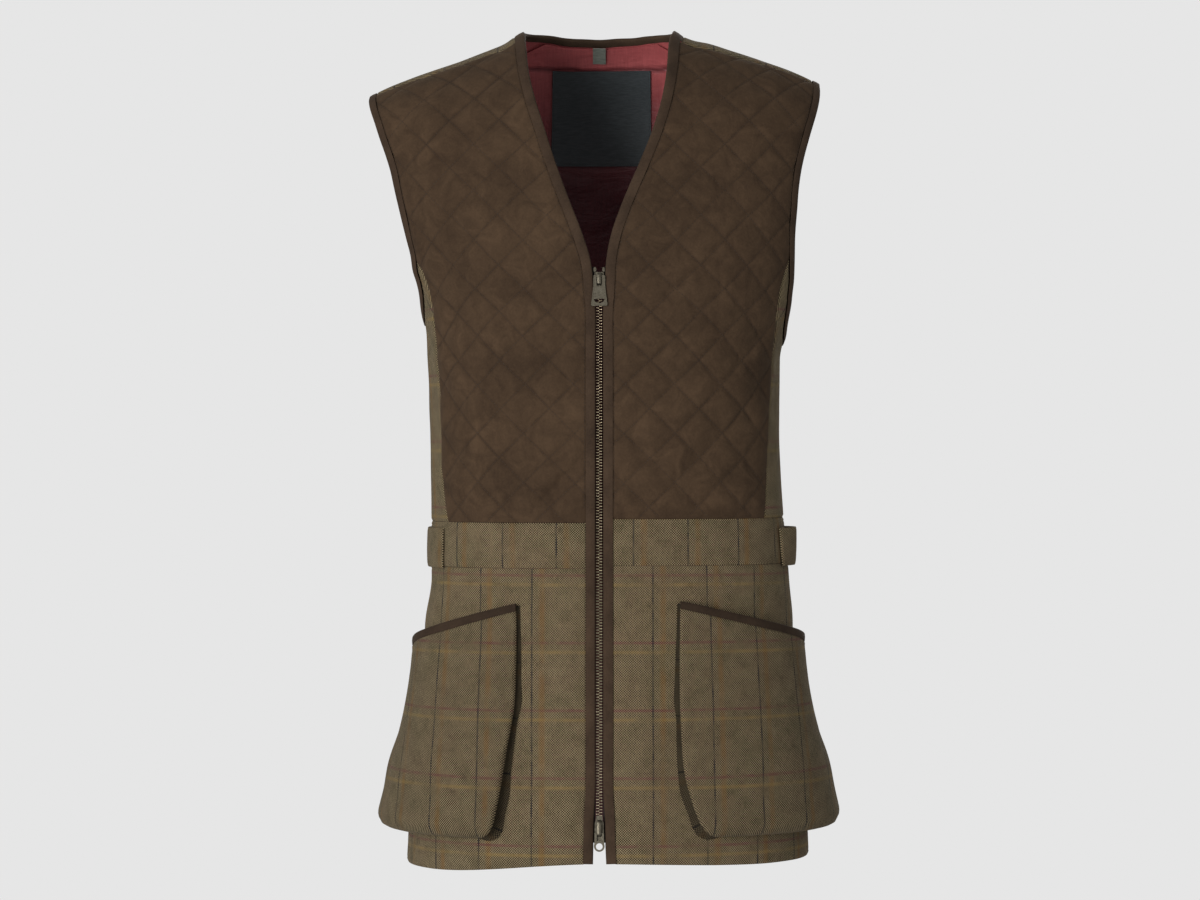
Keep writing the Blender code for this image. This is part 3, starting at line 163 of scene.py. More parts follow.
shoulderDrops = (Drop(0.060, 0.0120), Drop(0.090, 0.0090), Drop(0.130, 0.0070), Drop(0.214, 0.0030))
Neck = namedtuple("Neck", "distance height")
neckEdges = (Neck(0.000, 0.0003), Neck(0.030, 0.0008), Neck(0.046, 0.0018), Neck(0.0700, 0.0010))

# Main folds, then the softer creases: each a line from an angle and height to another angle and
# height, its half width and how far it stands out.
folds = (
    (-66, -0.30, -30, -0.37, 0.016, 0.0025),
    (-62, -0.36, -18, -0.44, 0.014, 0.0022),
    (-34, -0.45, -8, -0.40, 0.009, -0.0030),
    (60, -0.31, 30, -0.40, 0.016, 0.0022),
    (64, -0.40, 34, -0.44, 0.012, -0.0016),
    (-15, -0.56, -13, -0.75, 0.016, 0.0026),
    (14, -0.58, 17, -0.75, 0.016, 0.0028),
    (150, -0.30, 172, -0.44, 0.022, 0.0035),
    (-148, -0.28, -174, -0.42, 0.022, 0.0032),
    (165, -0.52, 160, -0.75, 0.024, 0.0045),
    (-166, -0.52, -158, -0.75, 0.024, 0.0045),
    (176, -0.10, 140, -0.16, 0.020, 0.0022),
)
creases = (
    (-30, -0.447, -9, -0.398, 0.0035, -0.0022),
    (-24, -0.450, -7, -0.418, 0.0030, -0.0015),
    (-37, -0.438, -20, -0.402, 0.0040, -0.0013),
    (-63, -0.255, -46, -0.300, 0.0060, -0.0010),
    (-66, -0.285, -40, -0.330, 0.0055, -0.0011),
    (-67, -0.335, -50, -0.372, 0.0060, -0.0009),
    (-58, -0.395, -38, -0.425, 0.0060, -0.0008),
    (-44, -0.225, -28, -0.268, 0.0050, -0.0007),
    (-22, -0.300, -10, -0.335, 0.0045, -0.0007),
    (62, -0.280, 44, -0.345, 0.0060, -0.0010),
    (66, -0.345, 48, -0.395, 0.0055, -0.0010),
    (56, -0.420, 30, -0.436, 0.0050, -0.0008),
    (36, -0.250, 22, -0.300, 0.0050, -0.0007),
    (20, -0.355, 12, -0.392, 0.0045, -0.0006),
    (-62, -0.100, -48, -0.135, 0.0060, -0.0006),
    (60, -0.090, 47, -0.140, 0.0060, -0.0007),
    (-24, -0.520, -21, -0.600, 0.0070, -0.0009),
    (-9, -0.600, -8, -0.700, 0.0060, -0.0007),
    (24, -0.540, 21, -0.640, 0.0070, -0.0009),
    (10, -0.660, 12, -0.735, 0.0060, -0.0008),
    (78, -0.290, 72, -0.420, 0.0080, -0.0013),
    (-76, -0.290, -70, -0.430, 0.0080, -0.0013),
    (96, -0.330, 118, -0.430, 0.0090, -0.0015),
    (-98, -0.320, -122, -0.425, 0.0090, -0.0014),
    (126, -0.250, 150, -0.330, 0.0100, -0.0012),
    (-130, -0.240, -154, -0.320, 0.0100, -0.0013),
    (170, -0.360, 186, -0.440, 0.0090, -0.0012),
    (-160, -0.120, -136, -0.170, 0.0110, -0.0011),
    (150, -0.110, 132, -0.160, 0.0110, -0.0010),
    (110, -0.520, 106, -0.640, 0.0100, -0.0013),
    (-108, -0.520, -104, -0.660, 0.0100, -0.0013),
    (138, -0.500, 142, -0.690, 0.0110, -0.0012),
    (-140, -0.510, -145, -0.700, 0.0110, -0.0014),
    (178, -0.560, 176, -0.740, 0.0120, -0.0012),
)
foldRadius = 0.14  # turns a fold's angles into lengths


def eased(t):  # from 0 to 1, level at both ends
    return t * t * (3 - 2 * t)


def unit(vectors):
    return vectors / np.linalg.norm(vectors, axis=-1, keepdims=True)


def runsOf(line):  # how far along a polyline each of its points lies
    return np.concatenate([[0], np.cumsum(np.linalg.norm(np.diff(line, axis=0), axis=1))])


def signedArea(ring):
    ahead = np.roll(ring, -1, axis=0)
    return 0.5 * np.sum(ring[:, 0] * ahead[:, 1] - ahead[:, 0] * ring[:, 1])


def curveThrough(rows, key, value, levelStart=False):  # smooth, with no overshoot
    rows = sorted(rows, key=lambda row: getattr(row, key))
    knots = np.array([getattr(row, key) for row in rows])
    values = np.array([getattr(row, value) for row in rows])
    steps = np.diff(knots)
    slopes = np.diff(values) / steps
    tangents = np.concatenate([slopes[:1], np.zeros(len(knots) - 2), slopes[-1:]])
    if levelStart:
        tangents[0] = 0.0
    for i in range(1, len(knots) - 1):
        before, after = slopes[i - 1], slopes[i]
        if before * after > 0:
            tangents[i] = 2 * before * after / (before + after)

    def at(x):
        x = np.clip(np.asarray(x, float), knots[0], knots[-1])
        k = np.clip(np.searchsorted(knots, x) - 1, 0, len(steps) - 1)
        t = (x - knots[k]) / steps[k]
        bend = t * (1 - t) ** 2 * tangents[k] - t * t * (1 - t) * tangents[k + 1]
        return values[k] + (values[k + 1] - values[k]) * eased(t) + bend * steps[k]

    return at


def bySide(rows, key, levelStart=False):
    return {side: curveThrough(rows, key, sideName[side], levelStart) for side in (left, right)}


halfWidth = bySide(sections, "height")
frontDepth = curveThrough(sections, "height", "front")
backDepth = curveThrough(sections, "height", "back")
ridgeHeight = bySide(ridges, "distance", levelStart=True)
frontEdge = bySide(frontEdges, "height")
armholeEdge = bySide(armholeEdges, "height")
sideSeam = bySide(sideSeams, "height")
shoulderDrop = curveThrough(shoulderDrops, "distance", "drop")
neckHeight = curveThrough(neckEdges, "distance", "height", levelStart=True)

# A point has an angle, from the front centre round each side to the back centre, and a level, which
# is the height, but over a shoulder's cap it goes on as the way over the cap does.
capStretch = math.pi / 2 - 1


def capHeight(distance):
    return capAtNeck + (capAtTip - capAtNeck) * np.clip((distance - 0.07) / 0.14, 0, 1)


def forSide(side, functions, value):
    return np.where(side > 0, functions[left](value), functions[right](value))


def skin(angle, level):  # the bare outer surface
    angle, level = np.broadcast_arrays(np.asarray(angle, float), np.asarray(level, float))
    side = np.where(angle < 0, right, left)
    turn = np.abs(angle)
    width = forSide(side, halfWidth, level)
    front, back = frontDepth(level), backDepth(level)
    depth = np.where(turn < math.pi / 2, front, back)
    power = shape["sectionPower"]
    across = (np.abs(np.sin(turn)) / width) ** power
    along = (np.abs(np.cos(turn)) / depth) ** power
    reach = (across + along) ** (-1 / power)
    x, y = reach * np.sin(turn), -reach * np.cos(turn)
    top, cap = forSide(side, ridgeHeight, np.abs(x)), capHeight(np.abs(x))
    way = (top + capStretch * cap - level) / cap
    onCap = way < math.pi / 2
    z = np.where(onCap, top - cap * (1 - np.cos(way)), level)
    y = np.where(onCap, y * np.sin(way), y)
    y = np.where((way < 0) & (turn > math.pi / 2), y * front / back, y)
    return np.stack([side * x, y, z], axis=-1)


def foldRise(angle, level, table):
    total = np.zeros(np.broadcast(angle, level).shape)
    for angle1, height1, angle2, height2, width, rise in table:
        start = np.array([math.radians(angle1) * foldRadius, height1])
        line = np.array([math.radians(angle2) * foldRadius, height2]) - start
        for wrap in (0, 1) if abs(angle1) > 150 else (0,):  # folds that cross the back centre
            turned = angle + wrap * np.where(angle * angle1 < 0, np.sign(angle1), 0) * 2 * math.pi
            p = np.stack(np.broadcast_arrays(turned * foldRadius - start[0], level - start[1]), axis=-1)
            share = np.clip((p @ line) / (line @ line), 0, 1)
            away = np.linalg.norm(p - share[..., None] * line, axis=-1)
            taper = 0.35 + 0.65 * np.sin(math.pi * np.clip(share, 0.06, 0.94))
            fresh = rise * taper * np.exp(-((away / width) ** 2))
            total = total + (fresh if wrap == 0 else np.where(angle * angle1 < 0, fresh, 0))
    return total


class Clouds:  # soft random heights from -1 to 1, smooth over a grid of its own
    size = 64

    def __init__(self):
        self.grid = dice.uniform(-1, 1, (self.size, self.size))

    def at(self, u, v):
        column, row = np.floor(u).astype(int), np.floor(v).astype(int)
        s, t = eased(u - column), eased(v - row)
        pick = lambda i, j: self.grid[(row + j) % self.size, (column + i) % self.size]
        low = pick(0, 0) * (1 - s) + pick(1, 0) * s
        high = pick(0, 1) * (1 - s) + pick(1, 1) * s
        return low * (1 - t) + high * t


broad, small, fine = Clouds(), Clouds(), Clouds()


def clothRise(angle, level):  # everything that lifts the cloth off its plain surface
    run = angle * foldRadius
    wide = 0.0007 * broad.at(run / 0.045 + 7, level / 0.06)
    drift = wide + 0.0004 * small.at(run / 0.019, level / 0.027 + 3)
    return foldRise(angle, level, folds) + foldRise(angle, level, creases) + drift


def place(angle, level, out):  # points out from the surface, along its normal, folds added
    angle, level, out = (np.asarray(v, float) for v in (angle, level, out))
    step = 1e-4
    across = skin(angle + step, level) - skin(angle - step, level)
    up = skin(angle, level + step) - skin(angle, level - step)
    return skin(angle, level) + unit(np.cross(across, up)) * (out + clothRise(angle, level))[..., None]


def heightAt(side, distance, level):
    cap, top = capHeight(distance), ridgeHeight[side](distance)
    way = (top + capStretch * cap - level) / cap
    return np.where(way < math.pi / 2, top - cap * (1 - np.cos(way)), level)


def levelAt(side, distance, height, behind=False):  # behind is for the far side of the ridge
    cap, top = capHeight(distance), ridgeHeight[side](distance)
    below = np.clip((top - height) / cap, 0, None)
    way = np.arccos(np.clip(1 - below, -1, 1)) * (-1 if behind else 1)
    return np.where(below < 1, top + capStretch * cap - way * cap, height)


# Arc lengths from the front centre, and the turns that they belong to

levelRows = np.linspace(-0.80, 0.20, 201)
turnSteps = np.linspace(0, math.pi, 361)
arcs, girths, turnsByShare = {}, {}, {}
for side in (left, right):
    turns, levels = np.meshgrid(turnSteps, levelRows)
    depth = np.where(turns < math.pi / 2, frontDepth(levels), backDepth(levels))
    power = shape["sectionPower"]
    across, along = np.sin(turns) / halfWidth[side](levels), np.abs(np.cos(turns)) / depth
    reach = (across**power + along**power) ** (-1 / power)
    steps = np.hypot(np.diff(reach * np.sin(turns), axis=1), np.diff(reach * np.cos(turns), axis=1))
    arcs[side] = np.concatenate([np.zeros((len(levelRows), 1)), np.cumsum(steps, axis=1)], axis=1)
    girths[side] = arcs[side][:, -1]
    shares = np.linspace(0, 1, len(turnSteps))
    turnsByShare[side] = np.array([np.interp(shares * row[-1], row, turnSteps) for row in arcs[side]])


def lookUp(table, level, share):  # share runs from 0 to 1 along the table's rows
    row = np.clip((level - levelRows[0]) / (levelRows[1] - levelRows[0]), 0, len(levelRows) - 1.001)
    column = np.clip(share, 0, 1) * (table.shape[1] - 1)
    i, j = row.astype(int), np.minimum(column.astype(int), table.shape[1] - 2)
    s, t = row - i, column - j
    low = table[i, j] * (1 - t) + table[i, j + 1] * t
    high = table[i + 1, j] * (1 - t) + table[i + 1, j + 1] * t
    return low * (1 - s) + high * s


def arcOf(side, turn, level):
    turn, level = np.broadcast_arrays(np.asarray(turn, float), np.asarray(level, float))
    return lookUp(arcs[side], level, turn / math.pi)


def halfGirth(side, level):
    return np.interp(level, levelRows, girths[side])


def turnOf(side, arc, level):
    arc, level = np.broadcast_arrays(np.asarray(arc, float), np.asarray(level, float))
    return lookUp(turnsByShare[side], level, arc / halfGirth(side, level))


def turnAt(side, distance, level, back=False):  # the turn to a distance from the centre line
    depth = backDepth(level) if back else frontDepth(level)
    share = np.clip(distance / halfWidth[side](level), 0, 1)
    power = shape["sectionPower"]
    turn = np.arctan2(distance, depth * (1 - share**power) ** (1 / power))
    return math.pi - turn if back else turn


# A pattern piece is drawn flat, as (run, level): on the front the run is the arc length from the
# front centre, on the back the signed arc length from the back centre.


def frontChart(side):
    return lambda flat: side * turnOf(side, flat[:, 0], flat[:, 1])


def backChart(flat):
    run, level = flat[:, 0], flat[:, 1]
    turned = {s: s * turnOf(s, halfGirth(s, level) - np.abs(run), level) for s in (left, right)}
    return np.where(run >= 0, turned[left], turned[right])


def toBack(side, flat):
    flat = np.asarray(flat, float)
    return np.stack([side * (halfGirth(side, flat[:, 1]) - flat[:, 0]), flat[:, 1]], axis=1)


def flatTurned(side, turn, levels):
    return np.stack([arcOf(side, turn, levels), levels], axis=1)


def flatAt(side, distance, levels, back=False):  # flat points at distances from the centre line
    return flatTurned(side, turnAt(side, distance, levels, back), levels)


def edgeFlat(side, edge, levels, back=False, inset=0.0):
    levels = np.asarray(levels, float)
    distance = np.full(levels.shape, 0.07 if edge is frontEdge else 0.2)
    for _ in range(12):
        distance = edge[side](heightAt(side, distance, levels)) - inset
    return flatAt(side, distance, levels, back)


def offset(line, distance):  # a polyline moved to its left, point by point
    line = np.asarray(line, float)
    along = unit(np.gradient(line, axis=0))
    return line + distance * np.stack([-along[:, 1], along[:, 0]], axis=1)


def crossings(first, second):  # (segment of first, segment of second, point) where two lines meet
    a, r = first[:-1, None], np.diff(first, axis=0)[:, None]
    c, s = second[None, :-1], np.diff(second, axis=0)[None]
    det = r[..., 0] * s[..., 1] - r[..., 1] * s[..., 0]
    det = np.where(np.abs(det) < 1e-18, np.nan, det)
    gap = c - a
    t = (gap[..., 0] * s[..., 1] - gap[..., 1] * s[..., 0]) / det
    u = (gap[..., 0] * r[..., 1] - gap[..., 1] * r[..., 0]) / det
    found = np.argwhere((t >= -1e-9) & (t <= 1 + 1e-9) & (u >= -1e-9) & (u <= 1 + 1e-9))
    return [(i, j, first[i] + t[i, j] * (first[i + 1] - first[i])) for i, j in found]


def refined(lines, spacing):  # smooth curves through matching polylines, at even steps of the first
    lines = [np.asarray(line, float) for line in lines]
    lead = lines[0]
    kept = [0]
    for i in range(1, len(lead) - 1):
        if min(np.linalg.norm(lead[i] - lead[kept[-1]]), np.linalg.norm(lead[i] - lead[-1])) > 0.0012:
            kept.append(i)
    kept.append(len(lead) - 1)
    lines = [line[kept] for line in lines]
    knots = runsOf(lines[0])
    runs = np.linalg.norm(np.diff(lines[0], axis=0), axis=1)
    count = max(2, round(knots[-1] / spacing) + 1)
    x = np.linspace(0, knots[-1], count)
    k = np.clip(np.searchsorted(knots, x) - 1, 0, len(runs) - 1)
    t = ((x - knots[k]) / runs[k])[:, None]
    curves = []
    for line in lines:
        slopes = np.diff(line, axis=0) / runs[:, None]
        before, after = runs[:-1, None], runs[1:, None]
        inner = (slopes[:-1] * after + slopes[1:] * before) / (before + after)
        tangents = np.concatenate([slopes[:1], inner, slopes[-1:]])
        bend = t * (1 - t) ** 2 * tangents[k] - t * t * (1 - t) * tangents[k + 1]
        curves.append(line[k] + (line[k + 1] - line[k]) * eased(t) + bend * runs[k][:, None])
    return curves


def outlineOf(lines, spacing):  # one closed outline from lines that run a little past their corners
    lines = [np.asarray(line, float) for line in lines]
    starts, ends = [None] * len(lines), [None] * len(lines)
    for k, first in enumerate(lines):
        after = (k + 1) % len(lines)
        found = crossings(first, lines[after])
        if not found:
            raise ValueError(f"line {k} misses the next one")
        i, j, corner = min(found, key=lambda hit: (-hit[0], hit[1]))
        ends[k], starts[after] = (i, corner), (j + 1, corner)
    points = []
    for k, line in enumerate(lines):
        first, corner = starts[k]
        stretch = np.concatenate([[corner], line[first : ends[k][0] + 1], [ends[k][1]]])
        points.extend(refined([stretch], spacing)[0][:-1])
    return np.array(points)


def inside(outline, points):  # which points lie inside an outline, and how far from it
    within = np.zeros(len(points), bool)
    away = np.full(len(points), np.inf)
    for a, b in zip(outline, np.roll(outline, -1, axis=0)):
        spans = (a[1] > points[:, 1]) != (b[1] > points[:, 1])
        if spans.any():
            within ^= spans & (points[:, 0] < (b[0] - a[0]) * (points[:, 1] - a[1]) / (b[1] - a[1]) + a[0])
        line = b - a
        share = np.clip((points - a) @ line / (line @ line), 0, 1)
        away = np.minimum(away, ((points - a - share[:, None] * line) ** 2).sum(axis=1))
    return within, np.sqrt(away)


def lattice(outline, spacing, quilt=0):  # staggered points, or points on the quilting's diagonals
    low, high = outline.min(axis=0) - spacing, outline.max(axis=0) + spacing
    if quilt:
        halfWide, halfHigh = shape["quiltWidth"] / 2 / quilt, shape["quiltHeight"] / 2 / quilt
    else:
        halfWide, halfHigh = spacing / 2, spacing * 0.8
    rows = np.arange(math.floor(low[1] / halfHigh), math.ceil(high[1] / halfHigh) + 1)
    columns = np.arange(math.floor(low[0] / halfWide), math.ceil(high[0] / halfWide) + 1)
    column, row = np.meshgrid(columns, rows)
    points = np.stack([column * halfWide, row * halfHigh], axis=-1)[(column + row) % 2 == 0]
    return fromQuilting(points) if quilt else points


# Flat points, their distance to the outline, and triangles; the outline's points come first.
def filled(outline, spacing, quilt=0, rings=(0.0009, 0.0022)):
    inward = offset(np.concatenate([outline[-1:], outline, outline[:1]]), 1.0)[1:-1] - outline
    area = signedArea(outline)
    inward = inward * np.sign(area)
    groups = [outline]
    for depth in rings:
        ring = outline + inward * depth
        within, away = inside(outline, ring)
        groups.append(ring[within & (away > depth * 0.8)])
    points = lattice(outline, spacing, quilt)
    within, away = inside(outline, points)
    deepest = (rings[-1] if rings else 0) + 0.4 * spacing
    groups.append(points[within & (away > deepest)])
    flat = np.concatenate(groups)
    count = len(outline)
    edges = [(i, (i + 1) % count) for i in range(count)]
    verts, _, faces, origins, _, _ = delaunay_2d_cdt([Vector(p) for p in flat], edges, [], 1, 1e-7)
    number = [min(origin) if origin else None for origin in origins]
    if len(verts) != len(flat) or None in number:
        raise ValueError("an outline crosses itself")
    away = np.concatenate([np.zeros(count), inside(outline, flat[count:])[1]])
    return flat, away, [tuple(number[i] for i in face) for face in faces], abs(area)


def addObject(name, data):
    thing = bpy.data.objects.new(name, data)
    bpy.context.scene.collection.objects.link(thing)
    return thing


# One closed piece at the origin, its faces outwards, with cloth coordinates in metres.
def finishMesh(name, verts, faces, looks, faceFinish=None, cloth=None):
    mesh = bpy.data.meshes.new(name)
    mesh.from_pydata([tuple(v) for v in np.asarray(verts)], [], faces)
    for look in looks:
        mesh.materials.append(look)
    if faceFinish is not None:
        mesh.polygons.foreach_set("material_index", np.asarray(faceFinish, np.int32))
    if cloth is not None:
        layer = mesh.uv_layers.new(name="cloth")
        corner = np.empty(len(mesh.loops), np.int32)
        mesh.loops.foreach_get("vertex_index", corner)
        layer.data.foreach_set("uv", np.asarray(cloth, np.float32)[corner].ravel())
    bm = bmesh.new()
    bm.from_mesh(mesh)
    bmesh.ops.recalc_face_normals(bm, faces=bm.faces)
    bm.to_mesh(mesh)
    bm.free()
    mesh.shade_smooth()
    mesh.set_sharp_from_angle(angle=math.radians(50))
    return addObject(name, mesh)


def dress(piece, body, slot, *nodes):
    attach(piece, body)
    if nodes:
        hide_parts(*nodes)


flatSizes = {}


def declareSheet(piece, outline, area):
    width, length = (float(v) for v in outline.max(axis=0) - outline.min(axis=0))
    flatSizes[piece.name] = (round(width, 3), round(length, 3), round(float(area), 4))


# A cloth wall over an outline; outer and inner say how far out each face lies.
def makeWall(
    node, slot, looks, outline, chart, outer, inner, spacing,
    quilt=0, roll=0.0008, grain=(1, 0, 0), ditch=0.0,
):
    rings = (0.0009, 0.0022, 0.0034, 0.0046) if ditch else (0.0009, 0.0022)
    flat, away, faces, area = filled(outline, spacing, quilt, rings)
    under, underAway, underFaces, _ = filled(outline, max(spacing * 2, 0.007), rings=())
    count = len(outline)
    outs = outer(flat, away) if callable(outer) else np.full(len(flat), outer)
    outs = outs - roll * np.exp(-((away / 0.0014) ** 2)) - ditch * np.exp(-(((away - 0.0034) / 0.0009) ** 2))
    underOuts = inner(under, underAway) if callable(inner) else np.full(len(under), inner)
    top = place(chart(flat), flat[:, 1], outs)
    low = place(chart(under), under[:, 1], underOuts)
    base = len(top)
    rim = [(i, (i + 1) % count, base + (i + 1) % count, base + i) for i in range(count)]
    allFaces = list(faces) + rim + [tuple(base + i for i in face) for face in underFaces]
    finish = [0] * (len(faces) + count) + [1] * len(underFaces)
    stretch, across, up = grain
    cloth = np.concatenate([flat, under]) * (stretch, 1) + (across, up)
    if quilt:  # the fronts' lines follow the quilting's own wander
        cloth = toQuilting(cloth)
    piece = finishMesh(node + "_cloth", np.concatenate([top, low]), allFaces, looks, finish, cloth)
    dress(piece, "root", slot, node)
    declareSheet(piece, outline, area)


# Finishes


class Nodes:  # short calls for a material's node tree
    def __init__(self, name):
        self.material = bpy.data.materials.new(name)
        self.material.use_nodes = True
        self.tree = self.material.node_tree
        self.shader = self.tree.nodes["Principled BSDF"]
        self.coords = self.tree.nodes.new("ShaderNodeTexCoord")

    def node(self, kind, *inputs, **settings):
        made = self.tree.nodes.new("ShaderNode" + kind)
        for key, value in settings.items():
            setattr(made, key, value)
        for i, value in enumerate(inputs):
            self.put(made.inputs[i], value)
        return made

    def put(self, socket, value):
        if value is None:
            return
        if isinstance(value, bpy.types.NodeSocket):
            self.tree.links.new(value, socket)
        else:
            socket.default_value = value

    def math(self, operation, *values):
        return self.node("Math", *values, operation=operation).outputs[0]

    def plus(self, a, b):
        return self.math("ADD", a, b)

    def less(self, a, b):
        return self.math("SUBTRACT", a, b)

    def times(self, a, b):
        return self.math("MULTIPLY", a, b)

    def over(self, a, b):
        return self.math("DIVIDE", a, b)

    def weighted(self, *parts):  # (value, weight) pairs, added up
        total = self.times(*parts[0])
        for part in parts[1:]:
            total = self.plus(total, self.times(*part))
        return total

    def noise(self, coords, scale, detail=3.0, rough=0.5, stretch=None, distort=0.0):
        if stretch:
            coords = self.node("Mapping", coords, (0, 0, 0), (0, 0, 0), stretch).outputs[0]
        made = self.node("TexNoise")
        names = ("Vector", "Scale", "Detail", "Roughness", "Distortion")
        for name, value in zip(names, (coords, scale, detail, rough, distort)):
            self.put(made.inputs[name], value)
        return made.outputs["Fac"]

    def ramp(self, value, *stops):
        made = self.node("ValToRGB", value)
        elements = made.color_ramp.elements
        while len(elements) < len(stops):
            elements.new(0.5)
        for element, (place_, colour) in zip(elements, stops):
            element.position = place_
            element.color = (*colour, 1) if len(colour) == 3 else (colour[0],) * 3 + (1,)
        return made.outputs["Color"]

    def mix(self, share, a, b, blend="MIX"):
        made = self.tree.nodes.new("ShaderNodeMix")
        made.data_type, made.blend_type = "RGBA", blend
        colour = lambda c: c if isinstance(c, bpy.types.NodeSocket) else (*c, 1)
        self.put(made.inputs["Factor"], share)
        self.put(made.inputs[6], colour(a))  # the node's colour sockets
        self.put(made.inputs[7], colour(b))
        return made.outputs[2]

    def line(self, value, centre, period, halfWide, soft):  # 1 on lines that repeat, 0 between them
        moved = self.less(value, centre - period / 2)
        wrapped = self.less(self.math("FLOORED_MODULO", moved, period), period / 2)
        away = self.less(self.math("ABSOLUTE", wrapped), halfWide)
        litShare = self.math("MAXIMUM", self.over(away, soft), 0.0)
        return self.less(1.0, self.math("MINIMUM", litShare, 1.0))

    def bump(self, *heights):  # (height, distance in metres, strength), the later ones on top
        normal = None
        for height, distance, strength in heights:
            made = self.tree.nodes.new("ShaderNodeBump")
            made.inputs["Distance"].default_value = distance
            made.inputs["Strength"].default_value = strength
            self.put(made.inputs["Height"], height)
            self.put(made.inputs["Normal"], normal)
            normal = made.outputs["Normal"]
        self.put(self.shader.inputs["Normal"], normal)

    def finish(self, colour, **fixed):
        self.put(self.shader.inputs["Base Color"], colour)
        for name, value in fixed.items():
            self.put(self.shader.inputs[name.replace("_", " ")], value)
        return self.material


def shaded(shade):
    return lambda colour: tuple(c * shade for c in colour)


suedeLook = {
    "dark": (0.0370, 0.0222, 0.0130),
    "middle": (0.0535, 0.0325, 0.0186),
    "light": (0.0740, 0.0450, 0.0256),
    "line": (0.0250, 0.0152, 0.0094),
    "stitchLine": 0.0002, "stitchFade": 0.0034,  # the pressed groove along the stitches, painted darker as the shade in it, and its soft edge
}


def suedeFinish():
    look = suedeLook
    n = Nodes("suede")
    place_ = n.coords.outputs["Object"]
    cloud = n.noise(place_, 12, 4, 0.6, distort=0.9)
    patch_ = n.noise(place_, 52, 4, 0.62, distort=1.2)
    nap = n.noise(place_, 520, 5, 0.65)
    tones = n.weighted((cloud, 0.40), (patch_, 0.38), (nap, 0.22))
    colour = n.ramp(tones, (0.38, look["dark"]), (0.50, look["middle"]), (0.63, look["light"]))
    uv = n.node("SeparateXYZ", n.coords.outputs["UV"])
    across, up = n.over(uv.outputs[0], shape["quiltWidth"]), n.over(uv.outputs[1], shape["quiltHeight"])
    half, soft = look["stitchLine"] / quiltSpacing, look["stitchFade"] / quiltSpacing
    stitchGrooves = [n.line(value, 0.0, 1.0, half, soft) for value in (n.plus(across, up), n.less(across, up))]
    lines = n.math("MAXIMUM", *stitchGrooves)
    lines = n.times(lines, lines)
    # Painted shade: the stitched grooves are painted darker, broken up by noise, as the shade that falls in
    # them.
    grooveShade = n.times(lines, n.ramp(n.noise(place_, 26, 3, 0.6), (0.38, (0.04,)), (0.64, (0.56,))))
    colour = n.mix(grooveShade, colour, look["line"])
    n.bump(
        (cloud, 0.0016, 0.35), (patch_, 0.0012, 0.5), (n.less(1.0, lines), 0.0003, 0.4), (nap, 0.00022, 0.5),
    )
    return n.finish(
        colour, Roughness=0.95, Specular_IOR_Level=0.12, Sheen_Weight=0.09, Sheen_Roughness=0.45,
        Sheen_Tint=(0.62, 0.46, 0.30, 1),
    )


tweedLook = {
    "ground": (0.067, 0.049, 0.026),
    "rosy": (0.086, 0.054, 0.034),
    "light": (0.284, 0.219, 0.126),
    "dark": (0.011, 0.008, 0.004),
    "green": (0.051, 0.048, 0.022),
    "rust": (0.200, 0.102, 0.030),
    "navy": (0.010, 0.012, 0.018),
    "maroon": (0.074, 0.014, 0.022),
    "ochre": (0.205, 0.130, 0.036),
    "thread": 0.00112,  # spacing of the yarns
    "across": 0.0500,  # the check's repeats
    "down": 0.0603,
    "navyAt": 0.0, "rustAt": 0.0092,
    "maroonAt": -0.0184, "ochreAt": -0.0268,  # as levels, less whole repeats
}


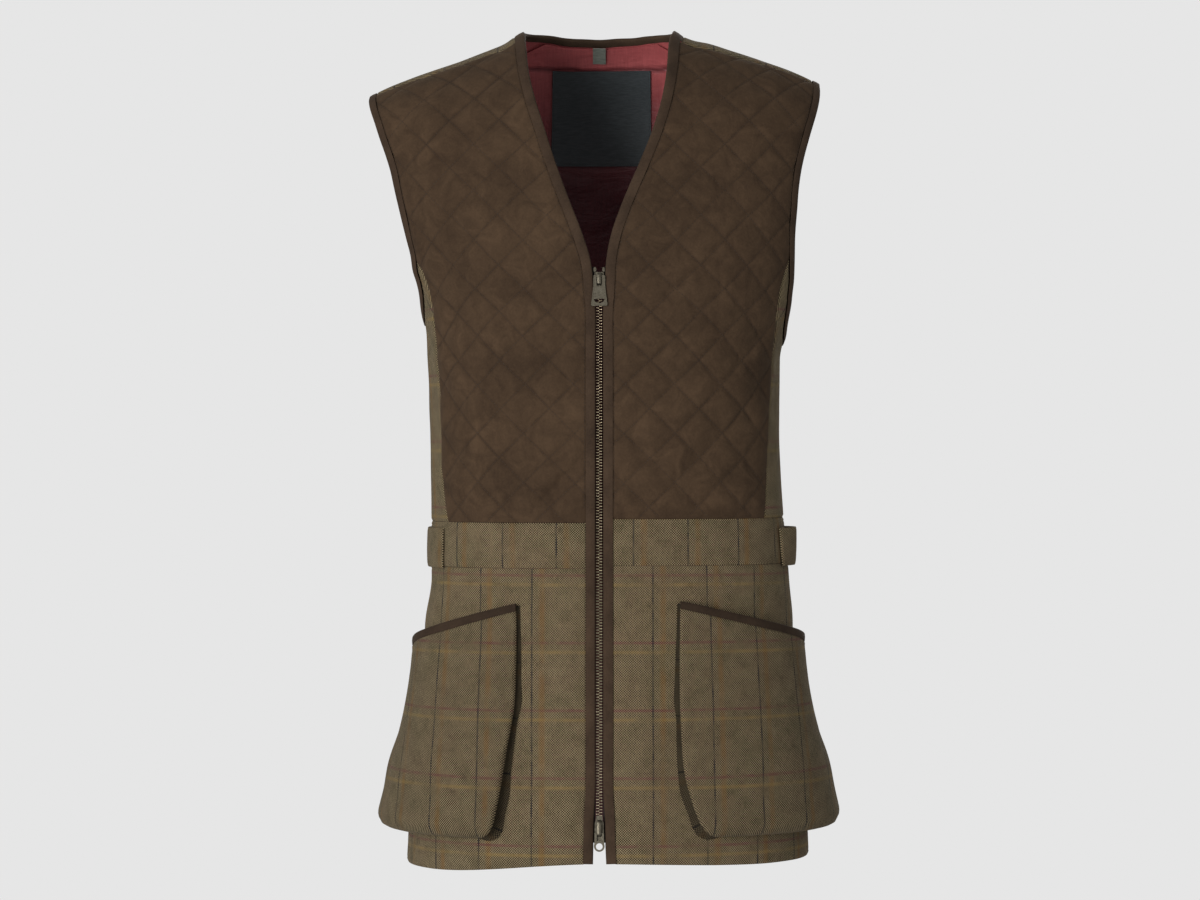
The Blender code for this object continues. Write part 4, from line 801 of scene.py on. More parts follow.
def tweedFinish(name="tweed", shade=1.0):
    look = tweedLook
    n = Nodes(name)
    tint = shaded(shade)
    uv = n.coords.outputs["UV"]
    part = n.node("SeparateXYZ", uv)
    u, v = part.outputs[0], part.outputs[1]
    turn = 2 * math.pi / (2 * look["thread"])
    wavy = n.times(n.less(n.noise(uv, 160, 2), 0.5), 0.0007)
    warp = n.math("SINE", n.times(n.plus(u, wavy), turn))
    weft = n.math("SINE", n.times(n.plus(v, wavy), turn))
    basket = n.times(warp, weft)  # -1 to 1, two by two
    warpYarn = n.math("ABSOLUTE", n.math("SINE", n.times(u, turn)))
    weftYarn = n.math("ABSOLUTE", n.math("SINE", n.times(v, turn)))
    heather = n.noise(uv, 900, 3, 0.6, stretch=(1, 0.18, 1))
    heather2 = n.noise(uv, 900, 3, 0.6, stretch=(0.18, 1, 1))
    slub = n.noise(uv, 60, 3, 0.55)
    cloud = n.noise(uv, 13, 3, 0.5)
    base = n.mix(n.ramp(cloud, (0.38, (0.0,)), (0.66, (1.0,))), tint(look["ground"]), tint(look["green"]))
    rosy = n.ramp(n.noise(uv, 48, 2, 0.5, distort=0.4), (0.44, (0.0,)), (0.62, (0.75,)))
    base = n.mix(rosy, base, tint(look["rosy"]))
    # The two-by-two weave shows more in some places than in others.
    patches = n.ramp(n.noise(uv, 95, 3, 0.6, distort=0.5), (0.36, (0.62,)), (0.64, (1.45,)))
    shown = n.times(basket, patches)
    speck = n.weighted((shown, 1.0), (heather, 0.80), (n.less(slub, 0.5), 0.7))
    base = n.mix(n.ramp(speck, (0.32, (0.0,)), (0.86, (1.0,))), base, tint(look["light"]))
    deep = n.less(n.times(heather2, 0.80), shown)
    base = n.mix(n.ramp(deep, (0.34, (0.0,)), (0.84, (1.0,))), base, tint(look["dark"]))
    # The check's threads show where the weave brings them up.
    warpUp = n.plus(n.times(basket, 0.5), 0.62)
    weftUp = n.less(0.62, n.times(basket, 0.5))
    for key, value, at, period, halfWide, soft, strength, up in (
        ("rust", u, look["rustAt"], look["across"], 0.0012, 0.0026, 0.56, warpUp),
        ("ochre", v, look["ochreAt"], look["down"], 0.0005, 0.0018, 0.58, weftUp),
        ("maroon", v, look["maroonAt"], look["down"], 0.0006, 0.0012, 0.95, weftUp),
        ("navy", u, look["navyAt"], look["across"], 0.0003, 0.0009, 1.00, warpUp),
    ):
        band = n.times(n.line(value, at, period, halfWide, soft), strength)
        scale = 60 if key in ("navy", "maroon") else 38
        broken = n.ramp(n.noise(uv, scale, 3), (0.36, (0.22,)), (0.60, (1.15,)))
        held = n.math("MINIMUM", n.times(n.times(band, up), broken), 1.0)
        base = n.mix(held, base, tint(look[key]))
    weave = n.weighted((basket, 0.5), (n.plus(warpYarn, weftYarn), 0.4))
    n.bump((cloud, 0.0010, 0.25), (slub, 0.0004, 0.4), (weave, 0.00030, 0.9), (heather, 0.00016, 0.45))
    return n.finish(
        base, Roughness=0.95, Specular_IOR_Level=0.14, Sheen_Weight=0.08, Sheen_Roughness=0.5,
        Sheen_Tint=(0.75, 0.62, 0.45, 1),
    )


bindingLook = {"dark": (0.030, 0.0185, 0.0115), "light": (0.062, 0.0385, 0.0235)}


def bindingFinish(name="binding_suede", shade=1.0):
    n = Nodes(name)
    tint = shaded(shade)
    place_ = n.coords.outputs["Object"]
    cloud = n.noise(place_, 40, 4, 0.6)
    nap = n.noise(place_, 700, 5, 0.65)
    tones = n.weighted((cloud, 0.6), (nap, 0.4))
    colour = n.ramp(tones, (0.34, tint(bindingLook["dark"])), (0.66, tint(bindingLook["light"])))
    n.bump((cloud, 0.0006, 0.4), (nap, 0.0002, 0.6))
    return n.finish(colour, Roughness=0.92, Specular_IOR_Level=0.15, Sheen_Weight=0.09, Sheen_Roughness=0.4,
                    Sheen_Tint=(0.60, 0.45, 0.32, 1))


liningLook = {
    "low": (0.058, 0.0085, 0.0115), "high": (0.096, 0.0145, 0.0190),
    # The lit colours, and the heights over which they take over, are painted light.
    "fadedLow": (0.310, 0.0620, 0.0650), "fadedHigh": (0.450, 0.1020, 0.1040),
    "fadeLow": -0.130, "fadeHigh": -0.020, "foldAt": -0.0275, "twill": 0.0007,
}


def liningFinish():
    look = liningLook
    n = Nodes("lining_satin")
    uv = n.coords.outputs["UV"]
    part = n.node("SeparateXYZ", uv)
    diagonal = n.plus(part.outputs[0], part.outputs[1])
    twill = n.math("SINE", n.times(diagonal, 2 * math.pi / look["twill"]))
    threads = n.noise(uv, 700, 2, 0.5, stretch=(1, 0.06, 1))
    soft = n.noise(uv, 16, 3, 0.5)
    tones = n.weighted((soft, 0.6), (threads, 0.4))
    colour = n.ramp(tones, (0.36, look["low"]), (0.64, look["high"]))
    # Painted light: towards the neck the lining is painted brighter, as the light that reaches it there,
    # while lower down it stays dark.
    high = n.node("SeparateXYZ", n.coords.outputs["Object"]).outputs[2]
    litShare = n.over(n.less(high, look["fadeLow"]), look["fadeHigh"] - look["fadeLow"])
    colour = n.mix(n.math("MINIMUM", n.math("MAXIMUM", litShare, 0.0), 1.0), colour, n.ramp(
        tones, (0.36, look["fadedLow"]), (0.64, look["fadedHigh"])))
    place_ = n.coords.outputs["Object"]
    wrinkles = n.noise(place_, 34, 3, 0.55, stretch=(0.55, 1, 1.5), distort=0.7)
    wander = n.times(n.less(n.noise(place_, 22, 2), 0.5), 0.010)
    fold = n.line(n.plus(high, wander), look["foldAt"], 1.0, 0.0004, 0.0030)
    # Painted shade: along the fold the colour is drawn towards the dark lining colour, as the shade in the
    # crease.
    colour = n.mix(n.times(fold, 0.72), colour, look["low"])
    n.bump((soft, 0.0014, 0.3), (wrinkles, 0.0040, 0.7), (n.less(1.0, fold), 0.0012, 0.6),
           (threads, 0.0001, 0.4), (twill, 0.00005, 0.5))
    return n.finish(colour, Roughness=0.46, Specular_IOR_Level=0.5, Sheen_Weight=0.2, Sheen_Roughness=0.3,
                    Sheen_Tint=(0.9, 0.45, 0.45, 1))


def wovenFinish(name, low, high, pitch, roughness):  # plain close weaves: label, size tab, zip tape
    n = Nodes(name)
    place_ = n.coords.outputs["Object"]
    part = n.node("SeparateXYZ", place_)
    turn = 2 * math.pi / pitch
    warp = n.math("SINE", n.times(part.outputs[0], turn))
    weft = n.math("SINE", n.times(part.outputs[2], turn))
    threads = n.noise(place_, 900, 3, 0.6, stretch=(0.12, 1, 1))
    tones = n.plus(n.times(n.times(warp, weft), 0.2), threads)
    colour = n.ramp(tones, (0.30, low), (0.78, high))
    n.bump((tones, 0.00012, 0.7))
    return n.finish(colour, Roughness=roughness, Specular_IOR_Level=0.35)


def brassFinish(name, low, high, grooveShade):
    n = Nodes(name)
    place_ = n.coords.outputs["Object"]
    patina = n.noise(place_, 420, 5, 0.65)
    scratches = n.noise(place_, 2600, 3, 0.6, stretch=(1, 1, 0.2))
    tones = n.weighted((patina, 0.7), (scratches, 0.3))
    colour = n.ramp(tones, (0.36, low), (0.60, high), (0.78, grooveShade))
    rough = n.ramp(tones, (0.30, (0.52,)), (0.75, (0.30,)))
    n.bump((patina, 0.00008, 0.5), (scratches, 0.00003, 0.5))
    return n.finish(colour, Metallic=1.0, Roughness=rough)


def threadFinish(name, colour):
    n = Nodes(name)
    twist = n.noise(n.coords.outputs["Object"], 2400, 2, 0.5)
    twisted = n.ramp(twist, (0.3, shaded(0.75)(colour)), (0.7, shaded(1.25)(colour)))
    return n.finish(twisted, Roughness=0.7, Specular_IOR_Level=0.3)


finishes = {
    "suede": suedeFinish(),
    "tweed": tweedFinish(),
    # A darker copy of the tweed for the pocket panel's inside face: painted shade.
    "innerTweed": tweedFinish("tweed_inside", 0.55),
    # A slightly darker copy of the tweed for the pocket panels: painted shade.
    "pocketTweed": tweedFinish("tweed_pockets", 0.86),
    # A much darker copy of the tweed for the bellows: painted shade in the deep pleat.
    "foldedTweed": tweedFinish("tweed_in_folds", 0.30),
    "binding": bindingFinish(),
    # A darker copy of the binding suede for the pocket mouths: painted shade.
    "pocketBinding": bindingFinish("pocket_binding_suede", 0.72),
    "lining": liningFinish(),
    "tape": wovenFinish("zip_tape_weave", (0.007, 0.005, 0.004), (0.022, 0.015, 0.011), 0.0009, 0.85),
    "label": wovenFinish("label_weave", (0.0320, 0.0390, 0.0420), (0.0620, 0.0730, 0.0770), 0.0006, 0.6),
    "sizeTab": wovenFinish("size_tab_weave", (0.115, 0.128, 0.110), (0.235, 0.252, 0.212), 0.0006, 0.65),
    "teeth": brassFinish("antique_teeth", (0.170, 0.130, 0.082), (0.420, 0.338, 0.224), (0.66, 0.57, 0.42)),
    "brass": brassFinish("antique_brass", (0.070, 0.061, 0.045), (0.140, 0.125, 0.094), (0.32, 0.29, 0.23)),
    "suedeThread": threadFinish("suede_thread", (0.040, 0.0255, 0.0160)),
    "tweedThread": threadFinish("tweed_thread", (0.075, 0.060, 0.034)),
    "labelThread": threadFinish("label_thread", (0.016, 0.022, 0.024)),
    "liningThread": threadFinish("lining_thread", (0.120, 0.020, 0.028)),
}
print("finishes made")


# Lines that the pieces share, in flat coordinates

centreLevels = np.concatenate([
    [shape["hem"] - 0.008],
    np.linspace(shape["hem"], -0.722, 3),
    np.linspace(-0.690, -0.262, 13),
    np.linspace(-0.243, -0.200, 4),
    np.linspace(-0.185, 0.035, 19),
])


def shoulderLine(side, behind):  # the shoulder seam, from past the neck edge to past the armhole
    distance = np.concatenate([np.linspace(0.058, 0.100, 12), np.linspace(0.110, 0.222, 10)])
    level = levelAt(side, distance, ridgeHeight[side](distance) - shoulderDrop(distance), behind)
    flat = flatAt(side, distance, level, behind)
    return toBack(side, flat) if behind else flat


def armholeLine(side):  # from the ridge down the front, under the arm and up the back to the ridge
    tip = armhole["tip"][side]
    top = float(ridgeHeight[side](tip) + capStretch * capHeight(tip))
    turn, bottom = armhole["turn"][side], armhole["bottom"][side]
    levels = np.linspace(top, turn, 14)
    front = edgeFlat(side, armholeEdge, levels)
    spread = np.clip((top - levels) / 0.06, 0, 1)
    back = edgeFlat(side, armholeEdge, levels, True, armhole["backInset"] * eased(spread))
    sideRun = float(arcOf(side, math.pi / 2, turn))
    way = np.linspace(math.pi / 14, math.pi * 13 / 14, 13)
    level = turn - (turn - bottom) * np.sin(way)
    reach = np.where(way < math.pi / 2, sideRun - front[-1][0], back[-1][0] - sideRun)
    under = np.stack([arcOf(side, math.pi / 2, level) - reach * np.cos(way), level], axis=1)
    return np.concatenate([front, under, back[::-1]])


def levelLine(level, low, high, count):
    return np.stack([np.linspace(low, high, count), np.full(count, level)], axis=1)


def hemLine(side):
    runs = np.linspace(0.002, 0.35, 31)
    share = np.clip(runs / shape["hemDropRun"], 0, 1)
    return np.stack([runs, shape["hem"] - shape["hemDrop"][side] * eased(share)], axis=1)


def backLine(levels, rise):
    runs = np.linspace(-0.36, 0.36, 33)
    share = np.clip(runs / 0.18, -1, 1) / 2 + 0.5
    return np.stack([runs, levels[right] + (levels[left] - levels[right]) * share + rise], axis=1)


def seamLine(side):
    return edgeFlat(side, sideSeam, np.concatenate([[-0.470, -0.4540], np.linspace(-0.430, -0.206, 14)]))


def skirtSeam(side):
    top, bottom = shape["waistTop"][side], shape["waistBottom"][side]
    levels = np.concatenate([
        np.linspace(shape["hem"] - 0.03, bottom - 0.018, 14), np.linspace(bottom, top, 3), [-0.440],
    ])
    return flatTurned(side, shape["skirtTurn"], levels)


def overRidge(side, flat):  # a front point just below the ridge, as the back's chart has it
    x, _, z = skin(side * turnOf(side, *flat), flat[1])
    level = float(levelAt(side, abs(x), z, behind=True))
    return float(arcOf(side, turnAt(side, abs(x), level, back=True), level)), level


def backArm(side):
    cut = armholeCuts[side]
    return np.concatenate([cut[9:-1], [overRidge(side, cut[i]) for i in range(5)]])


def neckLine():  # the back neck's free edge, from one shoulder seam over the back to the other
    halves = {}
    for side in (left, right):
        distance = np.linspace(0.0, 0.0690, 9)
        level = levelAt(side, distance, neckHeight(distance))
        half = flatAt(side, distance, level, True)
        onward = level[-1] + np.array([0.010, 0.022, 0.034, 0.046, 0.058, 0.070])
        halves[side] = toBack(side, np.concatenate([half, edgeFlat(side, frontEdge, onward, True)]))
    return np.concatenate([halves[left][::-1], halves[right][1:]])


def forBoth(line):  # a line for each side
    return {side: line(side) for side in (left, right)}


armholes = forBoth(armholeLine)
centres = forBoth(lambda side: edgeFlat(side, frontEdge, centreLevels))
armholeInsides = forBoth(lambda side: offset(armholes[side], -bindingWidth))
armholeCuts = forBoth(lambda side: offset(armholes[side], -bindingWidth - shape["seamGap"]))
centreInsides = forBoth(lambda side: offset(centres[side], -bindingWidth))
centreCuts = forBoth(lambda side: offset(centres[side], -bindingWidth - shape["seamGap"]))
sideLines = forBoth(seamLine)
skirtLines = forBoth(skirtSeam)
neckEdge = neckLine()


# Stitches, laid by Geometry Nodes on points that carry their own directions

def repeatNodes(title, inputs, shapeOf, outwardAxis):  # one shape on each point, turned as the point says
    tree = bpy.data.node_groups.new(title, "GeometryNodeTree")
    for name, kind in (("Geometry", "Geometry"), *inputs, ("Finish", "Material")):
        tree.interface.new_socket(name, in_out="INPUT", socket_type="NodeSocket" + kind)
    tree.interface.new_socket("Geometry", in_out="OUTPUT", socket_type="NodeSocketGeometry")
    add, link = tree.nodes.new, tree.links.new
    given, result = add("NodeGroupInput"), add("NodeGroupOutput")
    points, placed = add("GeometryNodeMeshToPoints"), add("GeometryNodeInstanceOnPoints")
    real, coloured = add("GeometryNodeRealizeInstances"), add("GeometryNodeSetMaterial")
    rotation = None
    for axis, name, pivot in (("X", "along", "AUTO"), (outwardAxis, "outward", "X")):
        named = add("GeometryNodeInputNamedAttribute")
        named.data_type = "FLOAT_VECTOR"
        named.inputs["Name"].default_value = name
        aligned = add("FunctionNodeAlignRotationToVector")
        aligned.axis, aligned.pivot_axis = axis, pivot
        link(named.outputs["Attribute"], aligned.inputs["Vector"])
        if rotation is not None:
            link(rotation, aligned.inputs["Rotation"])
        rotation = aligned.outputs["Rotation"]
    link(given.outputs["Geometry"], points.inputs["Mesh"])
    link(points.outputs["Points"], placed.inputs["Points"])
    link(shapeOf(given, add, link), placed.inputs["Instance"])
    link(rotation, placed.inputs["Rotation"])
    link(placed.outputs["Instances"], real.inputs["Geometry"])
    link(real.outputs["Geometry"], coloured.inputs["Geometry"])
    link(given.outputs["Finish"], coloured.inputs["Material"])
    link(coloured.outputs["Geometry"], result.inputs["Geometry"])
    return tree


threadSizes = ("Stitch length", "Thread width", "Thread height")


def stitchShape(given, add, link):  # a small ball stretched to the thread's sizes
    ball = add("GeometryNodeMeshUVSphere")
    ball.inputs["Segments"].default_value, ball.inputs["Rings"].default_value = 6, 4
    ball.inputs["Radius"].default_value = 0.5
    turned, scaled = add("GeometryNodeTransform"), add("GeometryNodeTransform")
    size = add("ShaderNodeCombineXYZ")
    turned.inputs["Rotation"].default_value = (0, math.pi / 2, 0)
    for i, name in enumerate(threadSizes):
        link(given.outputs[name], size.inputs[i])
    link(ball.outputs["Mesh"], turned.inputs["Geometry"])
    link(turned.outputs["Geometry"], scaled.inputs["Geometry"])
    link(size.outputs[0], scaled.inputs["Scale"])
    return scaled.outputs["Geometry"]


def toothInstance(given, add, link):
    tooth = add("GeometryNodeObjectInfo")
    link(given.outputs["Tooth"], tooth.inputs["Object"])
    return tooth.outputs["Geometry"]


stitchTree = repeatNodes("stitches", [(name, "Float") for name in threadSizes], stitchShape, "Z")


def pointMesh(name, points, along, outward):
    mesh = bpy.data.meshes.new(name)
    mesh.from_pydata([tuple(p) for p in points], [], [])
    for key, values in (("along", along), ("outward", outward)):
        attribute = mesh.attributes.new(key, "FLOAT_VECTOR", "POINT")
        attribute.data.foreach_set("vector", np.asarray(values, np.float32).ravel())
    return mesh


def settled(name, source, tree, settings):  # the modifier's result as a plain mesh of its own
    holder = addObject(name + "_points", source)
    modifier = holder.modifiers.new(tree.name, "NODES")
    modifier.node_group = tree
    sockets = {item.name: item.identifier for item in tree.interface.items_tree if item.in_out == "INPUT"}
    for key, value in settings.items():
        modifier[sockets[key]] = value
    evaluated = holder.evaluated_get(bpy.context.evaluated_depsgraph_get())
    mesh = bpy.data.meshes.new_from_object(evaluated)
    bpy.data.objects.remove(holder)
    mesh.name = name
    mesh.shade_smooth()
    return addObject(name, mesh)


threadLook = {"length": 0.0024, "width": 0.00050, "height": 0.00042, "pitch": 0.0031, "reach": 0.0008}


def stitchPoints(flat, chart, out):  # centres, directions and normals along a flat line
    dense = refined([flat], 0.001)[0]
    solid = place(chart(dense), dense[:, 1], out(dense))
    runs = runsOf(solid)
    count = max(2, int(runs[-1] / threadLook["pitch"]))
    at = (np.arange(count) + 0.5) * runs[-1] / count
    on = lambda line, step=0: np.stack([np.interp(at + step, runs, column) for column in line.T], axis=1)
    centre, where = on(solid), on(dense)

    def over(step):  # the way over the surface from just before each point to just past it
        after, before = where + step, where - step
        return place(chart(after), after[:, 1], 0) - place(chart(before), before[:, 1], 0)

    reach = threadLook["reach"]
    normal = unit(np.cross(over((reach, 0)), over((0, reach))))
    normal *= np.sign((normal * centre * (1, 1, 0)).sum(axis=1, keepdims=True) + 1e-9)
    return centre, on(solid, 0.0006) - on(solid, -0.0006), normal


def sew(name, groups, thread, slot, **sizes):
    centre, along, outward = (np.concatenate([group[i] for group in groups]) for i in range(3))
    look = {**threadLook, **sizes}
    settings = dict(zip(threadSizes, (look["length"], look["width"], look["height"])))
    settings["Finish"] = finishes[thread]
    dress(settled(name, pointMesh(name, centre, along, outward), stitchTree, settings), "root", slot)


# The quilted fronts

quiltLook = {
    "parts": 12, "groove": 0.00045, "grooveWidth": 0.0014, "pucker": 0.00034, "puckerReach": 0.007,
    "wander": 0.0021, "wanderRun": 0.056, "flatTop": 0.35,
}


def quiltWander(flat):  # how far the rows of quilting stray from straight lines
    run = quiltLook["wanderRun"]
    across = broad.at(flat[:, 0] / run + 21, flat[:, 1] / run)
    up = broad.at(flat[:, 0] / run + 3, flat[:, 1] / run + 17)
    return quiltLook["wander"] * np.stack([across, up], axis=1)


def toQuilting(flat):
    return flat + quiltWander(flat)


def fromQuilting(straight):
    flat = straight
    for _ in range(4):
        flat = straight - quiltWander(flat)
    return flat


def quiltRelief(flat, away):
    across, up = (toQuilting(flat) / (shape["quiltWidth"], shape["quiltHeight"])).T
    p, q = across + up, across - up
    toLine = np.minimum(np.abs(p - np.round(p)), np.abs(q - np.round(q))) * quiltSpacing
    look = quiltLook
    puff = shape["quiltRise"] * np.abs(np.sin(math.pi * p) * np.sin(math.pi * q)) ** 0.8
    held = 1 - 0.75 * np.exp(-((away / 0.007) ** 2))  # flatter where the edges are sewn down
    held *= 1 - look["flatTop"] * np.clip((flat[:, 1] + 0.26) / 0.16, 0, 1)  # and pressed flatter high up
    pucker = look["pucker"] * fine.at(flat[:, 0] / 0.0036, flat[:, 1] / 0.0040)
    pucker *= np.exp(-((toLine / look["puckerReach"]) ** 2))
    loose = 0.00035 * small.at(flat[:, 0] / 0.011 + 5, flat[:, 1] / 0.013)
    groove = look["groove"] * np.exp(-((toLine / look["grooveWidth"]) ** 2))
    return (puff + pucker + loose) * held - groove


def quiltSurface(away, rise):  # the quilting's relief at one distance from the edge
    return lambda flat: quiltRelief(flat, np.full(len(flat), away)) + rise


def quiltStitches(side, outline):
    chart = frontChart(side)
    low, high = outline.min(axis=0), outline.max(axis=0)
    groups = []
    for sign in (1, -1):
        values = np.sort([c[0] / shape["quiltWidth"] + sign * c[1] / shape["quiltHeight"] for c in (
            low, high, (low[0], high[1]), (high[0], low[1]),
        )])
        for number in range(math.ceil(values[0]), math.floor(values[-1]) + 1):
            runs = np.arange(low[0], high[0], 0.0010)
            levels = sign * (number - runs / shape["quiltWidth"]) * shape["quiltHeight"]
            line = fromQuilting(np.stack([runs, levels], axis=1))
            within, away = inside(outline, line)
            kept = np.flatnonzero(within & (away > 0.0015))
            if len(kept) < 6:
                continue
            for stretch in np.split(kept, np.flatnonzero(np.diff(kept) > 1) + 1):
                if len(stretch) > 5:
                    groups.append(stitchPoints(line[stretch], chart, quiltSurface(0.05, 0.00012)))
    return groups


def upperFront(side):
    waist = levelLine(shape["waistTop"][side] + halfGap, 0.002, 0.22, 14)
    seam = offset(sideLines[side], halfGap)
    arm = armholeCuts[side][:22][::-1]
    shoulder = (shoulderLine(side, False) - (0, halfGap))[::-1]
    outline = outlineOf([waist, seam, arm, shoulder, centreCuts[side][::-1]], 0.0030)
    node = "upper_front_" + sideName[side]
    makeWall(
        node, "suede", [finishes["suede"], finishes["lining"]], outline, frontChart(side),
        quiltRelief, -shape["clothWall"], 0.0034, quilt=quiltLook["parts"], roll=0.0006,
    )
    sew(node + "_quilting", quiltStitches(side, outline), "suedeThread", "suede")
    near = 0.0014  # the rows of stitches beside the bindings
    rows = []
    for flat in (offset(centreCuts[side], -near)[3:-3], offset(armholeCuts[side], -near)[:21]):
        within, away = inside(outline, flat)
        kept = flat[within & (away > 0.0006)]
        rows.append(stitchPoints(kept, frontChart(side), quiltSurface(near, -0.0001)))
    sew(node + "_topstitching", rows, "suedeThread", "suede")


# The tweed pieces

tweedGrain = {  # the cloth's stretch, turned over on the right, and how far its check is moved
    "waistband_left": (1, -0.0308, 0), "waistband_right": (-1, -0.0113, 0),
    "skirt_left": (1, 0.0017, 0), "skirt_right": (-1, 0.0109, 0),
    "pocket_left": (1.193, -0.0172, 0), "pocket_right": (-1.208, -0.0244, 0.0010),
    "back_panel": (-1, 0.0060, 0), "back_skirt": (-1, 0.0180, 0),
}


def tweedWall(node, outline, chart, spacing, ditch=0.0):
    makeWall(
        node, "tweed", [finishes["tweed"], finishes["lining"]], outline, chart,
        0.0, -shape["clothWall"], spacing, roll=0.0011, grain=tweedGrain[node], ditch=ditch,
    )


def frontBand(side, name, bottom, high, ditch):
    top = levelLine(high, 0.002, 0.35, 21)[::-1]
    outline = outlineOf([bottom, offset(skirtLines[side], halfGap), top, centreCuts[side][::-1]], 0.0035)
    tweedWall(name + sideName[side], outline, frontChart(side), 0.0040, ditch)


def backUpper():
    outline = outlineOf([
        backLine(shape["waistTop"], halfGap),
        toBack(left, offset(sideLines[left], -halfGap)),
        toBack(left, backArm(left)),
        shoulderLine(left, True)[::-1] - (0, halfGap),
        offset(neckEdge, bindingWidth + shape["seamGap"]),
        shoulderLine(right, True) - (0, halfGap),
        toBack(right, backArm(right))[::-1],
        toBack(right, offset(sideLines[right], -halfGap))[::-1],
    ], 0.0035)
    tweedWall("back_panel", outline, backChart, 0.0045)


def backSkirt():
    hem = {side: shape["hem"] - shape["hemDrop"][side] for side in (left, right)}
    outline = outlineOf([
        backLine(hem, 0.0),
        toBack(left, offset(skirtLines[left], -halfGap)),
        backLine(shape["waistTop"], -halfGap)[::-1],
        toBack(right, offset(skirtLines[right], -halfGap))[::-1],
    ], 0.0035)
    tweedWall("back_skirt", outline, backChart, 0.0045)


def backLining():
    arms, sides, shoulders = {}, {}, {}
    for side in (left, right):
        levels = np.linspace(shape["hem"], -0.200, 22)
        sides[side] = toBack(side, flatTurned(side, shape["liningTurn"], levels))
        arms[side] = toBack(side, offset(backArm(side), -2 * shape["seamGap"]))
        distance = np.linspace(0.035, 0.222, 20)
        level = levelAt(side, distance, ridgeHeight[side](distance) - shape["liningDrop"])
        shoulders[side] = toBack(side, flatAt(side, distance, level, True))
    hem = shape["hem"] + shape["liningHem"]
    outline = outlineOf([
        backLine({right: hem, left: hem}, 0.0), sides[left], arms[left], shoulders[left][::-1],
        offset(neckEdge, bindingWidth + 2 * shape["seamGap"]),
        shoulders[right], arms[right][::-1], sides[right][::-1],
    ], 0.0040)
    out = shape["liningOut"]
    makeWall(
        "back_lining", "lining", [finishes["lining"], finishes["lining"]], outline, backChart,
        out, out - shape["liningWall"], 0.0050, roll=0.0002,
    )


# The bindings: a strip folded round each edge

boundLook = {
    "cloth": 0.0006, "corner": 0.86, "over": 0.07,
    "sink": 0.0009, "sinkRun": 0.02,  # how much lower it lies over the shoulder
    "neckSinks": 0.040, "armSinks": -0.055,  # the levels where it starts to sink
}


def foldedProfile(front, back, cloth):  # (share from the inner to the free edge, out), round the fold
    middle, half = (front + back) / 2, (front - back) / 2
    corner = boundLook["corner"]
    turns = np.radians(np.linspace(80, -80, 7))
    over = boundLook["over"]
    outer = [(-over, front - 0.0003), (0.08, front), (0.5, front + 0.0002)]
    outer += [(corner + (1 - corner) * math.cos(t), middle + half * math.sin(t)) for t in turns]
    outer += [(0.5, back - 0.0002), (0.12, back), (0.0, back + 0.0001)]
    inside_ = [(0.0, back + cloth), (0.5, back + cloth)]
    radius, inner = (1 - corner) * 0.5, half - cloth
    inside_ += [(corner + radius * math.cos(t), middle + inner * math.sin(t)) for t in turns[::-2]]
    inside_ += [(0.5, front - cloth), (0.0, front - cloth), (-over, front - cloth - 0.0001)]
    return outer + inside_


# A cloth strip from the lines of its section's corners, declared at its flat size.
def makeStrip(node, slot, look, lines, cloth, width, length, closed=False):
    ring, count, faces = len(lines), len(lines[0]), []
    for i in range(count if closed else count - 1):
        j = (i + 1) % count
        for k in range(ring):
            m = (k + 1) % ring
            faces.append((k * count + i, m * count + i, m * count + j, k * count + j))
    if not closed:
        faces.append(tuple(k * count for k in range(ring)))
        faces.append(tuple(k * count + count - 1 for k in reversed(range(ring))))
    piece = finishMesh(node + "_cloth", np.concatenate(lines), faces, [look], cloth=np.concatenate(cloth))
    dress(piece, "root", slot, node)
    flatSizes[piece.name] = (round(width, 4), round(length, 3))


def bind(node, free, inner, chart, profile, look, cut, base, closed=False):
    free, inner = refined([free, inner], 0.0028)
    if closed:  # the last point lies on the first one
        free, inner = free[:-1], inner[:-1]
    count, runs = len(free), runsOf(free)
    width = float(np.linalg.norm(free[0] - inner[0]))
    lines, cloth = [], []
    for share, out in profile:
        flat = inner + (free - inner) * share
        lines.append(place(chart(flat), flat[:, 1], base(flat) + out))
        cloth.append(np.stack([np.full(count, share * width), runs], axis=1))
    length = float(runs[-1]) + (width if closed else 0)
    makeStrip(node, "binding", look, lines, cloth, cut, length, closed)


boundProfile = foldedProfile(0.0010, -0.0031, boundLook["cloth"])
stripWidth = 2 * bindingWidth + 0.0028  # the cut strip goes round the edge and back


def bindEdge(node, free, inner, chart, sinksFrom, closed=False):
    sink = lambda flat: -boundLook["sink"] * np.clip((flat[:, 1] - sinksFrom) / boundLook["sinkRun"], 0, 1)
    bind(node, free, inner, chart, boundProfile, finishes["binding"], stripWidth, sink, closed)


def bindings(side):
    seam = shoulderLine(side, False) - (0, halfGap)
    free, inner = centres[side], centreInsides[side]
    last = [i for i, (run, level) in enumerate(free) if level < np.interp(run, seam[:, 0], seam[:, 1])][-1]
    strips = [np.concatenate([line[1:last], [crossings(line, seam)[-1][2]]]) for line in (free, inner)]
    chart, name = frontChart(side), sideName[side]
    bindEdge("front_binding_" + name, *strips, chart, boundLook["neckSinks"])
    bindEdge(
        "armhole_binding_" + name, armholes[side], armholeInsides[side], chart, boundLook["armSinks"], True,
    )


def neckBinding():
    strips = []
    for line in (neckEdge, offset(neckEdge, bindingWidth)):
        ends = []
        for side, part in ((left, slice(0, 9)), (right, slice(len(line) - 9, None))):
            found = crossings(line[part], shoulderLine(side, True) - (0, halfGap))
            ends.append((found[0][0] + (part.start or 0), found[0][2]))
        strips.append((line, ends))
    start = max(ends[0][0] for _, ends in strips) + 1
    stop = min(ends[1][0] for _, ends in strips)
    lines = [np.concatenate([[ends[0][1]], line[start : stop + 1], [ends[1][1]]]) for line, ends in strips]
    bindEdge("neck_binding", *lines, backChart, boundLook["neckSinks"])


# The waist belt across the back, standing proud at the sides

